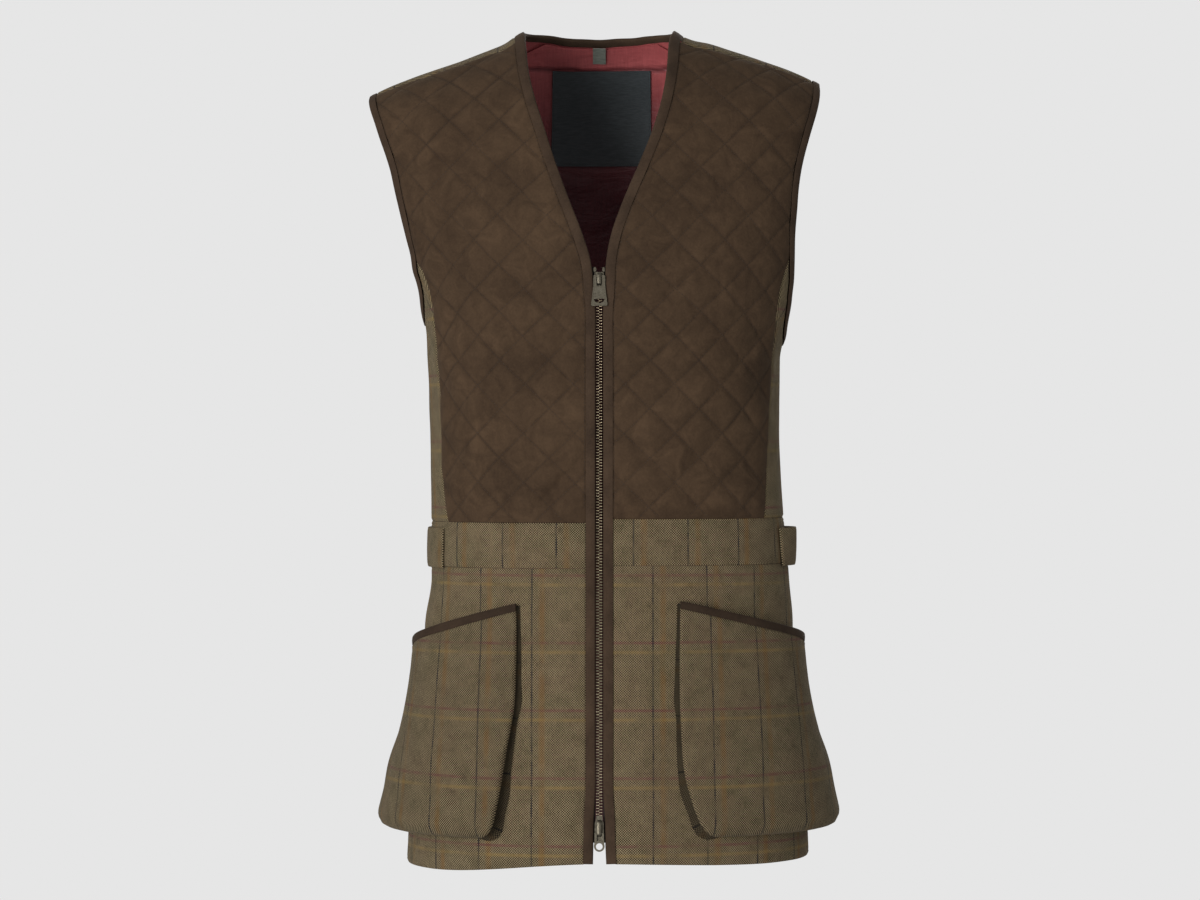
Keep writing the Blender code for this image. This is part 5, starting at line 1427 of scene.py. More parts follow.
beltLook = {
    "turn": {right: math.radians(-66.5), left: math.radians(74.5)},
    "heights": {right: (-0.4952, -0.4598), left: (-0.4941, -0.4601)},
    "wall": 0.0026, "rest": 0.0004, "ease": 0.0030, "lift": 0.018,
    "hump": {right: (-0.0022, -0.0022), left: (0.0060, 0.0016)},  # at the top and at the bottom edge
}


def waistBelt():
    look = beltLook
    turns = np.linspace(look["turn"][left], 2 * math.pi + look["turn"][right], 190)
    ends = np.array([0.0, 0.0003, 0.0008, 0.0016]) / foldRadius
    turns = np.concatenate([turns[0] + ends, turns[1:-1], turns[-1] - ends[::-1]])
    side = np.where(turns < math.pi, 1, -1)
    angles = np.where(turns < math.pi, turns, turns - 2 * math.pi)
    share = np.clip((math.pi - turns) / math.pi, -0.5, 0.5) + 0.5
    (lowRight, highRight), (lowLeft, highLeft) = look["heights"][right], look["heights"][left]
    low, high = lowRight + (lowLeft - lowRight) * share, highRight + (highLeft - highRight) * share
    fromEnd = np.minimum(turns - turns[0], turns[-1] - turns) * foldRadius
    lifted = np.clip(fromEnd / look["lift"], 0, 1)
    proud = look["rest"] + (look["ease"] - look["rest"]) * lifted
    hump = lifted * np.exp(-(((np.abs(angles) - math.radians(82)) / 0.30) ** 2))
    top = proud + np.where(side > 0, look["hump"][left][0], look["hump"][right][0]) * hump
    bottom = proud + np.where(side > 0, look["hump"][left][1], look["hump"][right][1]) * hump
    wall, rows = look["wall"], 12
    nose = np.maximum(np.sqrt(1 - (1 - np.clip(fromEnd / 0.0016, 0, 1)) ** 2), 0.25)  # the ends are rounded
    # (share of the height, share of the wall) round the section
    rounds = [(k / rows, 1.0) for k in range(rows + 1)] + [(1.012, 0.72), (1.012, 0.28)]
    rounds += [(1 - k / rows, 0.0) for k in range(rows + 1)] + [(-0.012, 0.28), (-0.012, 0.72)]
    verts, cloth = [], []
    run = turns * 0.165
    for up, out in rounds:
        level = low + (high - low) * up
        share = min(max(up, 0), 1)
        edge = share * (1 - share) * 4  # 0 at the edges, 1 in the middle
        rise = bottom + (top - bottom) * share + wall * (0.5 + (out - 0.5) * nose)
        rise = rise + 0.0005 * edge * (out - 0.2) * nose
        rise = rise - (0.0004 if out == 1.0 and up in (0.0, 1.0) else 0)
        verts.append(place(angles, level, rise))
        cloth.append(np.stack([-run, level], axis=1))
    width, length = float(np.mean(high - low)) + 0.001, float(runsOf(verts[rows // 2])[-1])
    makeStrip("waist_belt", "tweed", finishes["tweed"], verts, cloth, width, length)


# The bellows pockets

Pocket = namedtuple("Pocket", "height right left")  # the inner edge's distance from the centre line
pocketInnerEdges = (
    Pocket(-0.515, 0.0738, 0.0722),
    Pocket(-0.560, 0.0728, 0.0712),
    Pocket(-0.605, 0.0730, 0.0707),
    Pocket(-0.663, 0.0803, 0.0722),
    Pocket(-0.692, 0.0842, 0.0765),
    Pocket(-0.720, 0.0885, 0.0855),
    Pocket(-0.750, 0.0940, 0.0980),
)
pocketInner = bySide(pocketInnerEdges, "height")
pocketLook = {
    "mouthInner": {right: -0.5265, left: -0.5245},
    "mouthOuter": {right: -0.5650, left: -0.5610},
    "sag": 0.0022, "gape": 0.0045,
    "bottom": {right: -0.7360, left: -0.7345},
    "turn": math.radians(95), "wall": 0.0018, "corner": 0.015, "binding": 0.0066,
    "atMouth": (0.0070, 0.0078),
    "atBottom": {right: (0.0230, 0.0325), left: (0.0230, 0.0340)},
    "belly": 0.0035, "least": 0.0058,
    "gussetLow": 0.0010, "gussetInset": 0.0008, "gussetCloth": 0.0017, "gussetPleat": 0.009,
    "rumple": 0.0007, "stitchedAt": 0.0050, "flare": 0.0034, "flareLow": 0.0024,
}


def pocketSides(side):
    look = pocketLook
    heights = np.linspace(look["mouthInner"][side] + 0.02, look["bottom"][side] - 0.01, 14)
    inner = flatAt(side, pocketInner[side](heights), heights)
    bottom = levelLine(look["bottom"][side], 0.06, 0.33, 19)
    heights = np.linspace(look["bottom"][side] - 0.01, look["mouthOuter"][side] + 0.03, 13)
    return inner, bottom, flatTurned(side, look["turn"], heights)


def mouthLine(side):
    look = pocketLook
    first = float(arcOf(side, turnAt(side, 0.074, look["mouthInner"][side]), look["mouthInner"][side]))
    last = float(arcOf(side, math.radians(90), look["mouthOuter"][side]))
    share = np.linspace(-0.12, 1.2, 15)
    levels = look["mouthInner"][side] + (look["mouthOuter"][side] - look["mouthInner"][side]) * share
    levels = levels - look["sag"] * np.sin(math.pi * np.clip(share, 0, 1))
    return np.stack([first + (last - first) * share, levels], axis=1)


def pocketOutline(side, top, spacing):
    look = pocketLook
    inner, bottom, outer = pocketSides(side)
    outline = outlineOf([inner, bottom, outer, top[::-1]], spacing)
    low = look["bottom"][side]
    for line, sign in ((inner, -1), (outer, 1)):  # each bottom corner eased by a curve
        corner = np.array([np.interp(sign * low, sign * line[:, 1], line[:, 0]), low])
        runs = runsOf(outline)
        at = np.argmin(np.linalg.norm(outline - corner, axis=1))
        near = np.flatnonzero(np.abs(runs - runs[at]) < look["corner"])
        t = ((runs[near] - runs[near[0]]) / (runs[near[-1]] - runs[near[0]]))[:, None]
        outline[near] = outline[near[0]] * (1 - t) ** 2 + 2 * corner * t * (1 - t) + outline[near[-1]] * t**2
    kept = [i for i in range(len(outline)) if np.linalg.norm(outline[i] - outline[i - 1]) > 0.0007]
    return outline[kept]


def pocketStand(side, flat):  # how far the panel's outer face stands off the skirt
    look = pocketLook
    run, level = flat[:, 0], flat[:, 1]
    inner = arcOf(side, turnAt(side, pocketInner[side](level), level), level)
    outer = arcOf(side, look["turn"], level)
    share = np.clip((run - inner) / (outer - inner), 0, 1)
    mouth = look["mouthInner"][side] + (look["mouthOuter"][side] - look["mouthInner"][side]) * share
    down = np.clip((mouth - level) / (mouth - look["bottom"][side]), 0, 1)
    atMouth = look["atMouth"][0] + (look["atMouth"][1] - look["atMouth"][0]) * share
    atMouth = atMouth + look["gape"] * np.sin(math.pi * share)
    low = look["atBottom"][side]
    stand = atMouth + (low[0] + (low[1] - low[0]) * share - atMouth) * down**1.4
    stand = stand + look["belly"] * np.sin(math.pi * share) * np.sin(math.pi * np.clip(down * 1.2, 0, 1))
    for away, radius in ((run - inner, 0.0045), (level - look["bottom"][side], 0.015), (outer - run, 0.010)):
        near = np.clip(1 - away / radius, 0, 1)
        stand = stand - radius * (1 - np.sqrt(1 - near**2)) * 0.85 * (0.3 + 0.7 * down)
    return np.maximum(stand, look["least"])


def pocketRumple(flat, away):  # soft unevenness, with a puckered rim inside the stitched edge
    look = pocketLook
    soft = look["rumple"] * small.at(flat[:, 0] / 0.030 + 11, flat[:, 1] / 0.042)
    rim = 0.0004 * np.exp(-(((away - 0.0022) / 0.0016) ** 2))
    stitched = 0.0006 * np.exp(-(((away - look["stitchedAt"]) / 0.0012) ** 2))
    return soft * np.clip(away / 0.02, 0, 1) + (rim - stitched)


def pocket(side):
    look, chart, name = pocketLook, frontChart(side), sideName[side]
    mouth = mouthLine(side)
    outline = pocketOutline(side, offset(mouth, -(look["binding"] + shape["seamGap"])), 0.0030)
    node = "pocket_" + name
    # Both finishes are darker copies of the tweed, as painted shade: a little on the panel, much more on its
    # inside face.
    makeWall(
        node, "tweed", [finishes["pocketTweed"], finishes["innerTweed"]], outline, chart,
        lambda flat, away: pocketStand(side, flat) + pocketRumple(flat, away),
        lambda flat, away: pocketStand(side, flat) - look["wall"], 0.0034, grain=tweedGrain[node],
    )
    stitchedAt = look["stitchedAt"]
    edge = offset(np.concatenate([outline, outline[:1]]), stitchedAt)  # the stitched line inside the rim
    high = np.interp(edge[:, 0], mouth[:, 0], mouth[:, 1]) - look["binding"] - 0.001
    within, away = inside(outline, edge)
    kept = np.flatnonzero(within & (away > 0.0042) & (edge[:, 1] < high - 0.003))
    surface = lambda flat: pocketStand(side, flat) + pocketRumple(flat, np.full(len(flat), stitchedAt))
    parts = np.split(kept, np.flatnonzero(np.diff(kept) > 1) + 1)
    rows = [stitchPoints(edge[part], chart, surface) for part in parts if len(part) > 4]
    sew(node + "_topstitching", rows, "tweedThread", "tweed", length=0.0022)
    pocketBinding(side, mouth)
    gusset(side, mouth)


def pocketBinding(side, mouth):
    look = pocketLook
    innerEdge, _, outerEdge = pocketSides(side)
    strips, spans = [], []
    for line in (mouth, offset(mouth, -look["binding"])):
        first, last = crossings(line, innerEdge)[0], crossings(line, outerEdge)[0]
        strips.append((line, first[2], last[2]))
        spans.append((first[0], last[0]))
    first, last = max(span[0] for span in spans) + 1, min(span[1] for span in spans)
    free, inner = [np.concatenate([[start], line[first : last + 1], [end]]) for line, start, end in strips]
    profile = foldedProfile(0.0008, -look["wall"] - 0.0007, 0.0006)
    middle = (free + inner) / 2  # the strip stands as far off as its middle does, all across
    lift = lambda flat: np.interp(flat[:, 0], middle[:, 0], pocketStand(side, middle))
    # The strip's suede is the darker copy, as painted shade.
    bind(
        "pocket_binding_" + sideName[side], free, inner, frontChart(side), profile,
        finishes["pocketBinding"], 2 * look["binding"] + 0.0030, lift,
    )


def gusset(side, mouth):  # the bellows: a wall with one inward pleat, from the panel's rim to the skirt
    look = pocketLook
    brink = mouth[[0, -1]] - (0, look["sag"])
    line = pocketOutline(side, brink, 0.0036)
    # The outline's last stretch is the mouth, where the bellows is open.
    atMouth = np.abs(line[:, 1] - np.interp(line[:, 0], brink[:, 0], brink[:, 1])) < 1e-5
    line = line[: len(line) - max(0, np.count_nonzero(atMouth) - 2)]
    inward = offset(line, 1.0) - line
    below = np.interp(line[:, 0], mouth[:, 0], mouth[:, 1]) - line[:, 1]
    nearMouth = np.clip(2 - below / look["binding"], 0, 1)
    high = pocketStand(side, line) - look["wall"] - 0.0012 - 0.0005 * nearMouth
    low = look["gussetLow"]
    pleat = np.minimum(look["gussetPleat"], (high - low) * 0.45)
    runs = runsOf(line)
    crumple = 0.0009 * fine.at(runs / 0.012, runs * 0)
    # On the inner edge its foot spreads towards the centre, more so low down.
    inner = arcOf(side, turnAt(side, pocketInner[side](line[:, 1]), line[:, 1]), line[:, 1])
    beside = np.exp(-(((line[:, 0] - inner) / 0.014) ** 2))
    down = np.clip(below / 0.19, 0, 1)
    flare = beside * (look["flare"] + look["flareLow"] * down**2)
    flare = flare * (1 + 0.35 * small.at(runs / 0.021, runs * 0))
    verts, cloth = [], []
    ways = np.linspace(0, 1, 11)
    columns = [(way, 0.0) for way in ways] + [(way, 1.0) for way in ways[::-1]]
    for way, thick in columns:
        depth = np.sin(math.pi * way) ** 0.8
        wall = look["gussetInset"] + look["gussetCloth"] * thick
        flat = line + inward * (wall + (pleat + crumple * 0.6) * depth - flare * way)[:, None]
        out = high + (low - high) * way
        verts.append(place(frontChart(side)(flat), flat[:, 1], out))
        cloth.append(np.stack([runs, np.full(len(runs), way * 0.03)], axis=1))
    widths = np.linalg.norm(np.diff(verts[: len(ways)], axis=0), axis=2).sum(axis=0)
    width, length = float(np.mean(widths)) + look["gussetCloth"], float(runsOf(verts[5])[-1])
    # The bellows' cloth is the darker copy of the tweed, as painted shade in the pleat.
    makeStrip(
        "pocket_gusset_" + sideName[side], "tweed", finishes["foldedTweed"], verts, cloth, width, length,
    )


# The label and the size tab, both bare, on the back lining

patchLook = {
    "neck_label": {"across": (-0.0462, 0.0504), "heights": (-0.1150, -0.0238), "clear": 0.0017},
    "size_tab": {"across": (-0.0065, 0.0064), "heights": (-0.0165, -0.0022), "clear": 0.0021},
    "wall": 0.0006, "stitchInset": 0.0016, "stitchPitch": 0.0024,
}


def patch(node, slot, look, thread):
    spec, wall = patchLook[node], patchLook["wall"]
    (x0, x1), (z0, z1) = spec["across"], spec["heights"]
    columns, rows = max(6, round((x1 - x0) / 0.003)), max(6, round((z1 - z0) / 0.003))
    out = shape["liningOut"] - shape["liningWall"] - spec["clear"]

    def at(s, t, o):
        x, z = x0 + (x1 - x0) * s, z0 + (z1 - z0) * t
        turned = {}
        for side in (left, right):
            level = levelAt(side, np.abs(x), z)
            turned[side] = (level, side * turnAt(side, np.abs(x), level, True))
        level, turn = (np.where(x >= 0, turned[left][i], turned[right][i]) for i in range(2))
        return place(turn, level, o)

    s, t = np.meshgrid(np.linspace(0, 1, columns + 1), np.linspace(0, 1, rows + 1))
    s, t = s.ravel(), t.ravel()
    rim = np.minimum(np.minimum(s, 1 - s) * (x1 - x0), np.minimum(t, 1 - t) * (z1 - z0))
    lift = 0.0003 * np.exp(-((rim / 0.0035) ** 2))  # the turned-in edge is thicker
    verts = np.concatenate([at(s, t, out), at(s, t, out - wall - lift)])
    base, wide = len(s), columns + 1
    faces = []
    for r in range(rows):
        for c in range(columns):
            k = r * wide + c
            ring = (k, k + 1, k + wide + 1, k + wide)
            faces += [ring, tuple(base + i for i in ring[::-1])]
    border = list(range(columns)) + [r * wide + columns for r in range(rows)]
    border += [rows * wide + c for c in range(columns, 0, -1)] + [r * wide for r in range(rows, 0, -1)]
    for i, j in zip(border, border[1:] + border[:1]):
        faces.append((i, j, base + j, base + i))
    piece = finishMesh(node + "_cloth", verts, faces, [finishes[look]])
    dress(piece, "root", slot, node)
    flatSizes[piece.name] = (round(x1 - x0, 4), round(z1 - z0, 4))
    if thread:
        groups, near = [], patchLook["stitchInset"]
        a, b, o = near / (x1 - x0), near / (z1 - z0), out - wall - 0.0003
        corners = ((a, b), (1 - a, b), (1 - a, 1 - b), (a, 1 - b))
        for (s0, t0), (s1, t1) in zip(corners, corners[1:] + corners[:1]):
            length = math.hypot((s1 - s0) * (x1 - x0), (t1 - t0) * (z1 - z0))
            count = int(length / patchLook["stitchPitch"])
            w = (np.arange(count) + 0.5) / count
            on = lambda w, o: at(s0 + (s1 - s0) * w, t0 + (t1 - t0) * w, o)
            centre = on(w, o)
            groups.append((centre, on(w + 0.01, o) - centre, on(w, o - 0.001) - centre))
        sew(node + "_stitching", groups, thread, slot, length=0.0017, width=0.0003, height=0.0003)


# The two-way zip

zipLook = {
    "tapeOuts": (-0.0034, -0.0042), "tapeRun": (0.0034, 0.0135), "tapeLevels": (-0.7385, -0.2235),
    "stopOuts": (-0.0010, -0.0031), "stopRun": (0.0027, 0.0050), "stopLevels": (-0.2281, -0.2240),
    "chainOuts": (-0.0025, -0.0051), "chainLevels": (-0.7338, -0.2316),
    "pitch": 0.0026, "toothHeight": 0.00098, "toothReach": (0.0000, 0.0029),
}


def zipPoint(distance, level, out):
    distance, level = np.broadcast_arrays(np.asarray(distance, float), np.asarray(level, float))
    turned = np.sign(distance) * turnAt(left, np.abs(distance), level)
    return place(turned, level, out)


def zipTape(side):
    look = zipLook
    count = 190
    levels = np.linspace(*look["tapeLevels"], count)
    (near, far), (front, back) = look["tapeRun"], look["tapeOuts"]
    stops = (near + 0.0003, near + 0.0030, (near + far) / 2, far)
    section = [(stop, front + (0.0001 if stop == stops[1] else 0)) for stop in stops]
    section += [(stop, back) for stop in stops[::-1]]
    lines = [zipPoint(side * distance, levels, out) for distance, out in section]
    cloth = [np.stack([np.full(count, distance), levels], axis=1) for distance, _ in section]
    length = float(runsOf(lines[0])[-1])
    makeStrip("zip_tape_" + sideName[side], "zip_tape", finishes["tape"], lines, cloth, far - near, length)


def loft(bm, rings):  # faces between rings of corners, and at the two ends
    rings = [[bm.verts.new(p) for p in ring] for ring in rings]
    count = len(rings[0])
    for a, b in zip(rings, rings[1:]):
        for k in range(count):
            bm.faces.new((a[k], a[(k + 1) % count], b[(k + 1) % count], b[k]))
    bm.faces.new(rings[0])
    bm.faces.new(rings[-1])


def meshOf(name, bm):
    mesh = bpy.data.meshes.new(name)
    bm.to_mesh(mesh)
    bm.free()
    return mesh


def toothShape():  # one tooth: a clasp on the tape and a waisted head that reaches past the centre
    look = zipLook
    low, high = look["toothReach"]
    # (distance from the centre, share of the height, share of the depth)
    stations = (
        (low, 0.28, 0.75), (low + 0.0004, 0.46, 0.95), (0.0008, 0.46, 0.95), (0.0013, 0.30, 0.80),
        (0.0018, 0.46, 1.0), (high - 0.0004, 0.46, 1.0), (high, 0.34, 0.8),
    )
    eight = ((-1, -0.5), (-1, 0.5), (-0.5, 1), (0.5, 1), (1, 0.5), (1, -0.5), (0.5, -1), (-0.5, -1))
    halfDeep = (look["chainOuts"][0] - look["chainOuts"][1]) / 2
    bm = bmesh.new()
    loft(bm, [
        [(x, sy * halfDeep * deep, sz * look["toothHeight"] * tall) for sy, sz in eight]
        for x, tall, deep in stations
    ])
    bmesh.ops.recalc_face_normals(bm, faces=bm.faces)
    return addObject("tooth_shape", meshOf("tooth", bm))


def zipTeeth():
    look = zipLook
    low, high = look["chainLevels"]
    middle = (look["chainOuts"][0] + look["chainOuts"][1]) / 2
    groups = []
    for side in (left, right):
        start = low + 0.0012 + (look["pitch"] / 2 if side == right else 0)
        levels = np.arange(start, high - 0.0010, look["pitch"])
        points = zipPoint(1e-5, levels, middle)
        along = np.tile((side, 0.0, 0.0), (len(levels), 1))
        groups.append((points, along, points - zipPoint(1e-5, levels, middle - 0.001)))
    mesh = pointMesh("zip_teeth", *(np.concatenate([group[i] for group in groups]) for i in range(3)))
    tooth, tree = toothShape(), repeatNodes("zip_teeth", [("Tooth", "Object")], toothInstance, "Y")
    piece = settled("zip_teeth", mesh, tree, {"Tooth": tooth, "Finish": finishes["teeth"]})
    bpy.data.objects.remove(tooth)
    piece.data.set_sharp_from_angle(angle=math.radians(35))
    dress(piece, "root", "zip_teeth", "zip_chain")


def zipFrame(level):  # x across, y inward, z up along the cloth, at the fronts' outer face
    origin = Vector(place(0.0, level, 0.0))
    up = (Vector(place(0.0, level + 0.01, 0.0)) - Vector(place(0.0, level - 0.01, 0.0))).normalized()
    inward = up.cross(Vector((1, 0, 0))).normalized()
    turned = Matrix((Vector((1, 0, 0)), inward, up)).transposed().to_4x4()
    return Matrix.Translation(origin) @ turned


sliderLook = {
    "plates": ((-0.0020, -0.0008), (-0.0070, -0.0058)),  # front and rear, as outs
    "rim": (-0.0009, -0.0003), "rimWidth": 0.0009,
    "post": 0.0012, "bridge": 0.0016, "bridgeOuts": (0.0034, 0.0044), "edge": 0.00022,
    # the half width at each height, from the narrow end to the wide end
    "top": {"level": -0.2350, "legs": (-0.0055, 0.0060), "post": (0.0040, 0.0062),
            "outline": ((-0.0065, 0.0026), (-0.0058, 0.0031), (-0.0030, 0.0036), (0.0015, 0.0041),
                        (0.0056, 0.0042), (0.0065, 0.0034))},
    "bottom": {"level": -0.7260, "legs": (-0.0072, 0.0078), "post": (-0.0106, -0.0085),
               "outline": ((0.0115, 0.0022), (0.0108, 0.0029), (0.0072, 0.0030), (0.0052, 0.0039),
                           (-0.0020, 0.0041), (-0.0100, 0.0042), (-0.0115, 0.0034))},
}
pullLook = {
    "axisOut": 0.0019, "outs": (0.0013, 0.0025), "rim": 0.00022, "rimWidth": 0.0009, "edge": 0.00016,
    # slot: half width, top and foot; crescent: centre, radius, and its straight side's half width and height
    "top": {"at": 0.0026, "slot": (0.0024, -0.0006, -0.0090),
            "half": ((-0.0046, 0.0006), (-0.0053, 0.0000), (-0.0053, -0.0085), (-0.0073, -0.0260),
                     (-0.0066, -0.0270)), "crescent": (-0.0190, 0.0054, 0.0026, -0.0206)},
    "bottom": {"at": -0.0044, "slot": (0.0022, -0.0006, -0.0063),
               "neck": (0.0043, 0.0006, -0.0070), "ring": (-0.0112, 0.0048), "hole": (-0.0114, 0.0030)},
}


def arcPoints(centre, radius, start, end, count):
    turns = np.radians(np.linspace(start, end, count))
    return [(centre[0] + radius * math.cos(t), centre[1] + radius * math.sin(t)) for t in turns]


def inset(ring, distance):  # a ring's corners, drawn in towards its inside
    ring = np.asarray(ring, float)
    along = unit(ring - np.roll(ring, 1, axis=0))
    across = np.stack([-along[:, 1], along[:, 0]], axis=1) * np.sign(signedArea(ring))
    middle = unit(across + np.roll(across, -1, axis=0))
    reach = distance / np.clip((middle * across).sum(axis=1), 0.4, 1)
    return [tuple(p) for p in ring + middle * reach[:, None]]


def addPlate(bm, rings, outs):  # an outline with its holes, as a plate between two distances out
    flat, edges = [], []
    for ring in rings:
        start = len(flat)
        flat.extend(Vector(p) for p in ring)
        edges.extend((start + i, start + (i + 1) % len(ring)) for i in range(len(ring)))
    verts, _, faces, _, _, _ = delaunay_2d_cdt(flat, edges, [], 1, 1e-9)
    centres = np.array([np.mean([verts[i] for i in face], axis=0) for face in faces])
    kept = np.ones(len(faces), bool)
    for hole in rings[1:]:
        kept &= ~inside(np.array(hole, float), centres)[0]
    layers = [[bm.verts.new((v.x, -out, v.y)) for v in verts] for out in outs]
    border = {}
    for face in (faces[i] for i in np.flatnonzero(kept)):
        for layer in layers:
            bm.faces.new([layer[i] for i in face])
        for a, b in zip(face, face[1:] + face[:1]):
            border.setdefault(frozenset((a, b)), []).append((a, b))
    for use in border.values():
        if len(use) == 1:
            a, b = use[0]
            bm.faces.new([layers[0][a], layers[0][b], layers[1][b], layers[1][a]])


def addBridge(bm, legs, half, outs, base):  # the arched bar that a pull hangs from
    middle, reach = (legs[0] + legs[1]) / 2, (legs[1] - legs[0]) / 2
    thick = outs[1] - outs[0]
    rings = []
    for t in np.linspace(0, math.pi, 17):
        along, up = (math.copysign(abs(value) ** 0.4, value) for value in (math.cos(t), math.sin(t)))
        z0, o0 = middle + reach * along, base + (outs[1] - base) * up
        z1, o1 = middle + (reach - thick * 1.3) * along, base + (outs[0] - base) * up
        edge = [(half, o1, z1), (half, o0 * 0.8 + o1 * 0.2, z0 * 0.8 + z1 * 0.2), (half * 0.6, o0, z0)]
        rings.append([(-x, -o, z) for x, o, z in edge] + [(x, -o, z) for x, o, z in edge[::-1]])
    loft(bm, rings)


def castPiece(node, bm, place_, edge, body="root"):  # edges softened, then put in its place
    name = node + "_cast"
    bmesh.ops.dissolve_limit(bm, angle_limit=math.radians(1), verts=bm.verts, edges=bm.edges)
    bmesh.ops.recalc_face_normals(bm, faces=bm.faces)
    sharp = [e for e in bm.edges if len(e.link_faces) == 2 and e.calc_face_angle(0) > math.radians(35)]
    bmesh.ops.bevel(bm, geom=sharp, offset=edge, segments=2, affect="EDGES", clamp_overlap=True)
    bmesh.ops.triangulate(bm, faces=[f for f in bm.faces if len(f.verts) > 4])
    bm.transform(place_)
    bmesh.ops.recalc_face_normals(bm, faces=bm.faces)
    mesh = meshOf(name, bm)
    mesh.materials.append(finishes["brass"])
    mesh.shade_smooth()
    mesh.set_sharp_from_angle(angle=math.radians(40))
    dress(addObject(name, mesh), body, "brass", node)


def sliderFrame(which):  # the zip's frame at a slider, seated so that its pull turns on the joint's axis
    own = zipFrame(sliderLook[which]["level"])
    hinge = next(j for j in frame["record"]["behaviour"]["joints"] if j["name"] == which + "_pull_hinge")
    axis = own @ Vector((0, -pullLook["axisOut"], pullLook[which]["at"]))
    return Matrix.Translation(Vector(hinge["pos_m"]) - axis) @ own


def slider(which):
    look = sliderLook
    own = look[which]
    wide = [(x, z) for z, x in own["outline"]]
    ring = wide + [(-x, z) for x, z in wide[::-1]]
    front, rear = look["plates"]
    bm = bmesh.new()
    for outs in look["plates"]:
        addPlate(bm, [ring], outs)
    addPlate(bm, [ring, inset(ring, look["rimWidth"])], look["rim"])
    post, (low, high) = look["post"], own["post"]
    addPlate(bm, [[(-post, low), (post, low), (post, high), (-post, high)]], (rear[1], front[0]))
    addBridge(bm, own["legs"], look["bridge"], look["bridgeOuts"], front[1] - 0.0002)
    castPiece(which + "_slider", bm, sliderFrame(which), look["edge"])


def pullTab(which):
    look = pullLook
    own = look[which]
    half, slotTop, slotLow = own["slot"]
    slot = [(-half, slotTop), (-half, slotLow), (half, slotLow), (half, slotTop)]
    if which == "top":
        ring = list(own["half"]) + [(-x, z) for x, z in own["half"][::-1]]
        at, radius, straight, level = own["crescent"]
        hole = arcPoints((0, at), radius, 200, 340, 13) + [(straight, level), (-straight, level)]
    else:
        (at, radius), (holeAt, holeRadius), (neck, top, foot) = own["ring"], own["hole"], own["neck"]
        ring = [(-neck, top), (-neck, foot)] + arcPoints((0, at), radius, 165, 375, 21)
        ring += [(neck, foot), (neck, top)]
        hole = arcPoints((0, holeAt), holeRadius, 0, 342, 20)
    inner, outer = look["outs"]
    flush = outer - look["rim"]
    bm = bmesh.new()
    addPlate(bm, [ring, slot, hole], (inner, flush))
    if which == "top":
        addPlate(bm, [ring, inset(ring, look["rimWidth"])], (flush, outer))
    place_ = sliderFrame(which) @ Matrix.Translation((0, 0, own["at"]))
    castPiece(which + "_pull", bm, place_, look["edge"], which + "_pull")


def topStop(side):
    (x0, x1), (z0, z1) = zipLook["stopRun"], zipLook["stopLevels"]
    middle = (z0 + z1) / 2
    ring = [(side * x, z - middle) for x, z in ((x0, z0), (x1, z0), (x1, z1), (x0, z1))]
    bm = bmesh.new()
    addPlate(bm, [ring], zipLook["stopOuts"][::-1])
    castPiece("top_stop_" + sideName[side], bm, zipFrame(middle), 0.0005)


print("construction ready")

for side in (left, right):
    upperFront(side)
    print("quilted front", sideName[side])
    bandBottom = levelLine(shape["waistBottom"][side] + halfGap, 0.002, 0.35, 21)
    frontBand(side, "waistband_", bandBottom, shape["waistTop"][side] - halfGap, 0.0005)
    frontBand(side, "skirt_", hemLine(side), shape["waistBottom"][side] - halfGap, 0.0003)
    print("tweed front", sideName[side])
    bindings(side)
    pocket(side)
    print("pocket", sideName[side])
backUpper()
backSkirt()
backLining()
neckBinding()
waistBelt()
print("back made")
patch("neck_label", "label", "label", "labelThread")
patch("size_tab", "size_tab", "sizeTab", None)
for side in (left, right):
    zipTape(side)
zipTeeth()
for which in ("top", "bottom"):
    slider(which)
    pullTab(which)
for side in (left, right):
    topStop(side)
print("zip made")


# Backdrop, light and camera


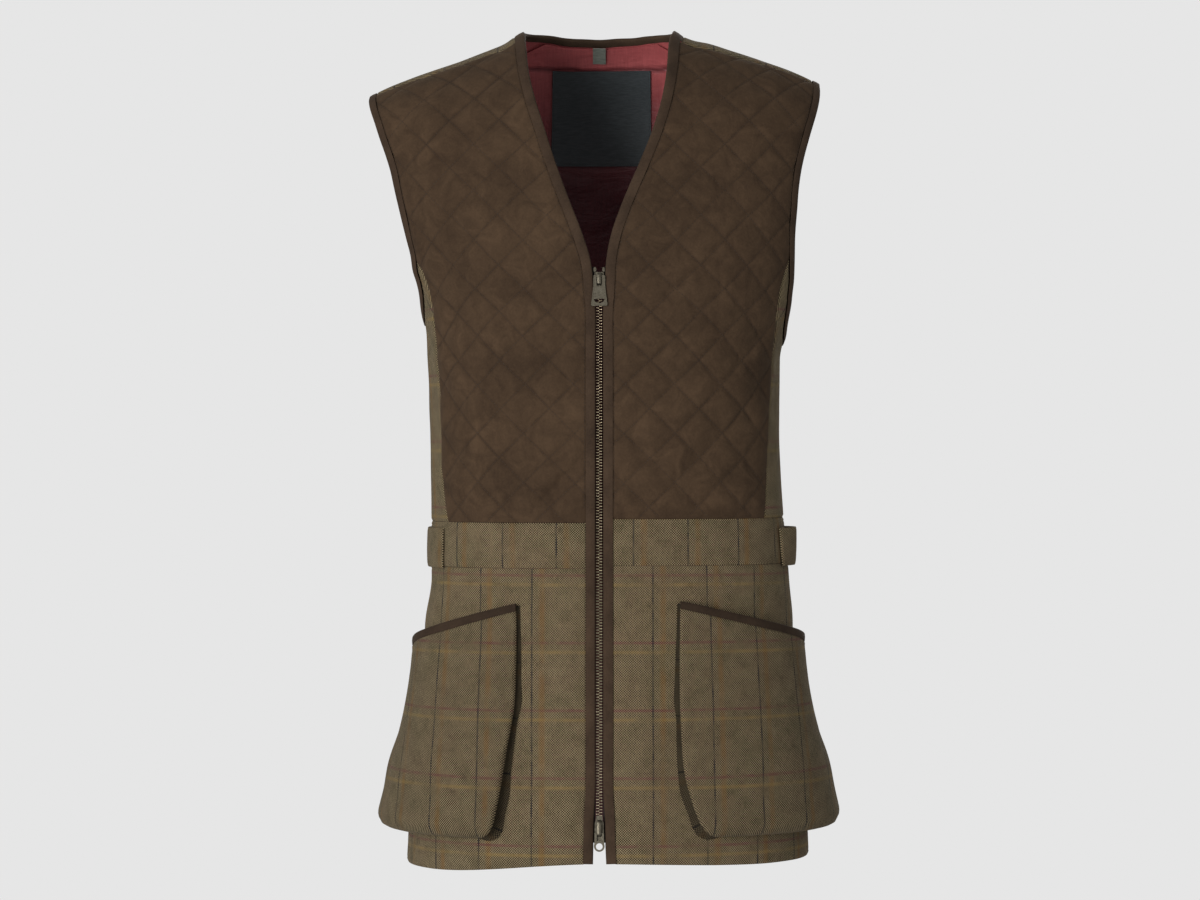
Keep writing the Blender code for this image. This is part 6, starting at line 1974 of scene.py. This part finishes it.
def addStage():  # a round sweep: a pale floor that curves up into a wall all round
    radius, fillet, floor, top, count = 4.6, 1.2, -1.30, 3.2, 96
    bend = [(math.sin(t), 1 - math.cos(t)) for t in np.linspace(0, math.pi / 2, 13)]
    profile = [(radius - fillet + fillet * out, floor + fillet * up) for out, up in bend] + [(radius, top)]
    turns = np.linspace(0, 2 * math.pi, count, endpoint=False)
    verts = [(r * math.cos(a), r * math.sin(a), z) for r, z in profile for a in turns] + [(0, 0, floor)]
    faces = []
    for i in range(count):
        j = (i + 1) % count
        faces.append((len(verts) - 1, i, j))
        for k in range(0, len(verts) - count - 1, count):
            faces.append((k + i, k + j, k + count + j, k + count + i))
    mesh = bpy.data.meshes.new("sweep")
    mesh.from_pydata(verts, [], faces)
    mesh.shade_smooth()
    pale = bpy.data.materials.new("pale_backdrop")
    pale.use_nodes = True
    given = pale.node_tree.nodes["Principled BSDF"].inputs
    given["Base Color"].default_value = (0.0, 0.0, 0.0, 1)
    given["Roughness"].default_value = 1.0
    given["Specular IOR Level"].default_value = 0.0
    given["Emission Color"].default_value = (0.791, 0.791, 0.791, 1)
    given["Emission Strength"].default_value = 1.0
    mesh.materials.append(pale)
    sweep = addObject("sweep", mesh)
    for ray in ("diffuse", "glossy", "transmission", "volume_scatter", "shadow"):
        setattr(sweep, "visible_" + ray, False)


skyStrength = 0.37
lamps = {  # name: (place, aim, width, height, watts)
    "key": ((-1.7, -3.1, -0.45), (0.0, 0.0, -0.44), 1.7, 1.7, 106),
    "fill": ((1.9, -3.1, -0.70), (0.0, 0.0, -0.45), 1.6, 2.2, 10),
    "top": ((0.0, 0.4, 2.2), (0.0, 0.0, -0.2), 1.6, 1.2, 5),
    "rear": ((0.6, 3.0, 0.8), (0.0, 0.0, -0.4), 2.0, 1.6, 44),
}


def addLights():
    world = bpy.data.worlds.new("studio")
    world.use_nodes = True
    sky = world.node_tree.nodes["Background"]
    sky.inputs["Color"].default_value = (0.98, 0.99, 1.0, 1)
    sky.inputs["Strength"].default_value = skyStrength
    bpy.context.scene.world = world
    for name, (spot, aim, width, height, watts) in lamps.items():
        lamp = bpy.data.lights.new(name, "AREA")
        lamp.shape, lamp.size, lamp.size_y, lamp.energy = "RECTANGLE", width, height, watts
        thing = addObject(name, lamp)
        thing.location = spot
        thing.rotation_euler = (Vector(aim) - Vector(spot)).to_track_quat("-Z", "Y").to_euler()


cameraLook = {"sensor": 36, "lens": 109.68, "place": (0.00065, -3.4, -0.388)}


def addCamera():
    camera = bpy.data.cameras.new("camera")
    camera.sensor_width, camera.lens = cameraLook["sensor"], cameraLook["lens"]
    thing = addObject("camera", camera)
    thing.location = cameraLook["place"]
    thing.rotation_euler = (math.pi / 2, 0, 0)
    bpy.context.scene.camera = thing


addStage()
addLights()
addCamera()
bpy.context.scene.view_settings.view_transform = "Standard"
print("studio ready")

print("flat sizes", flatSizes)
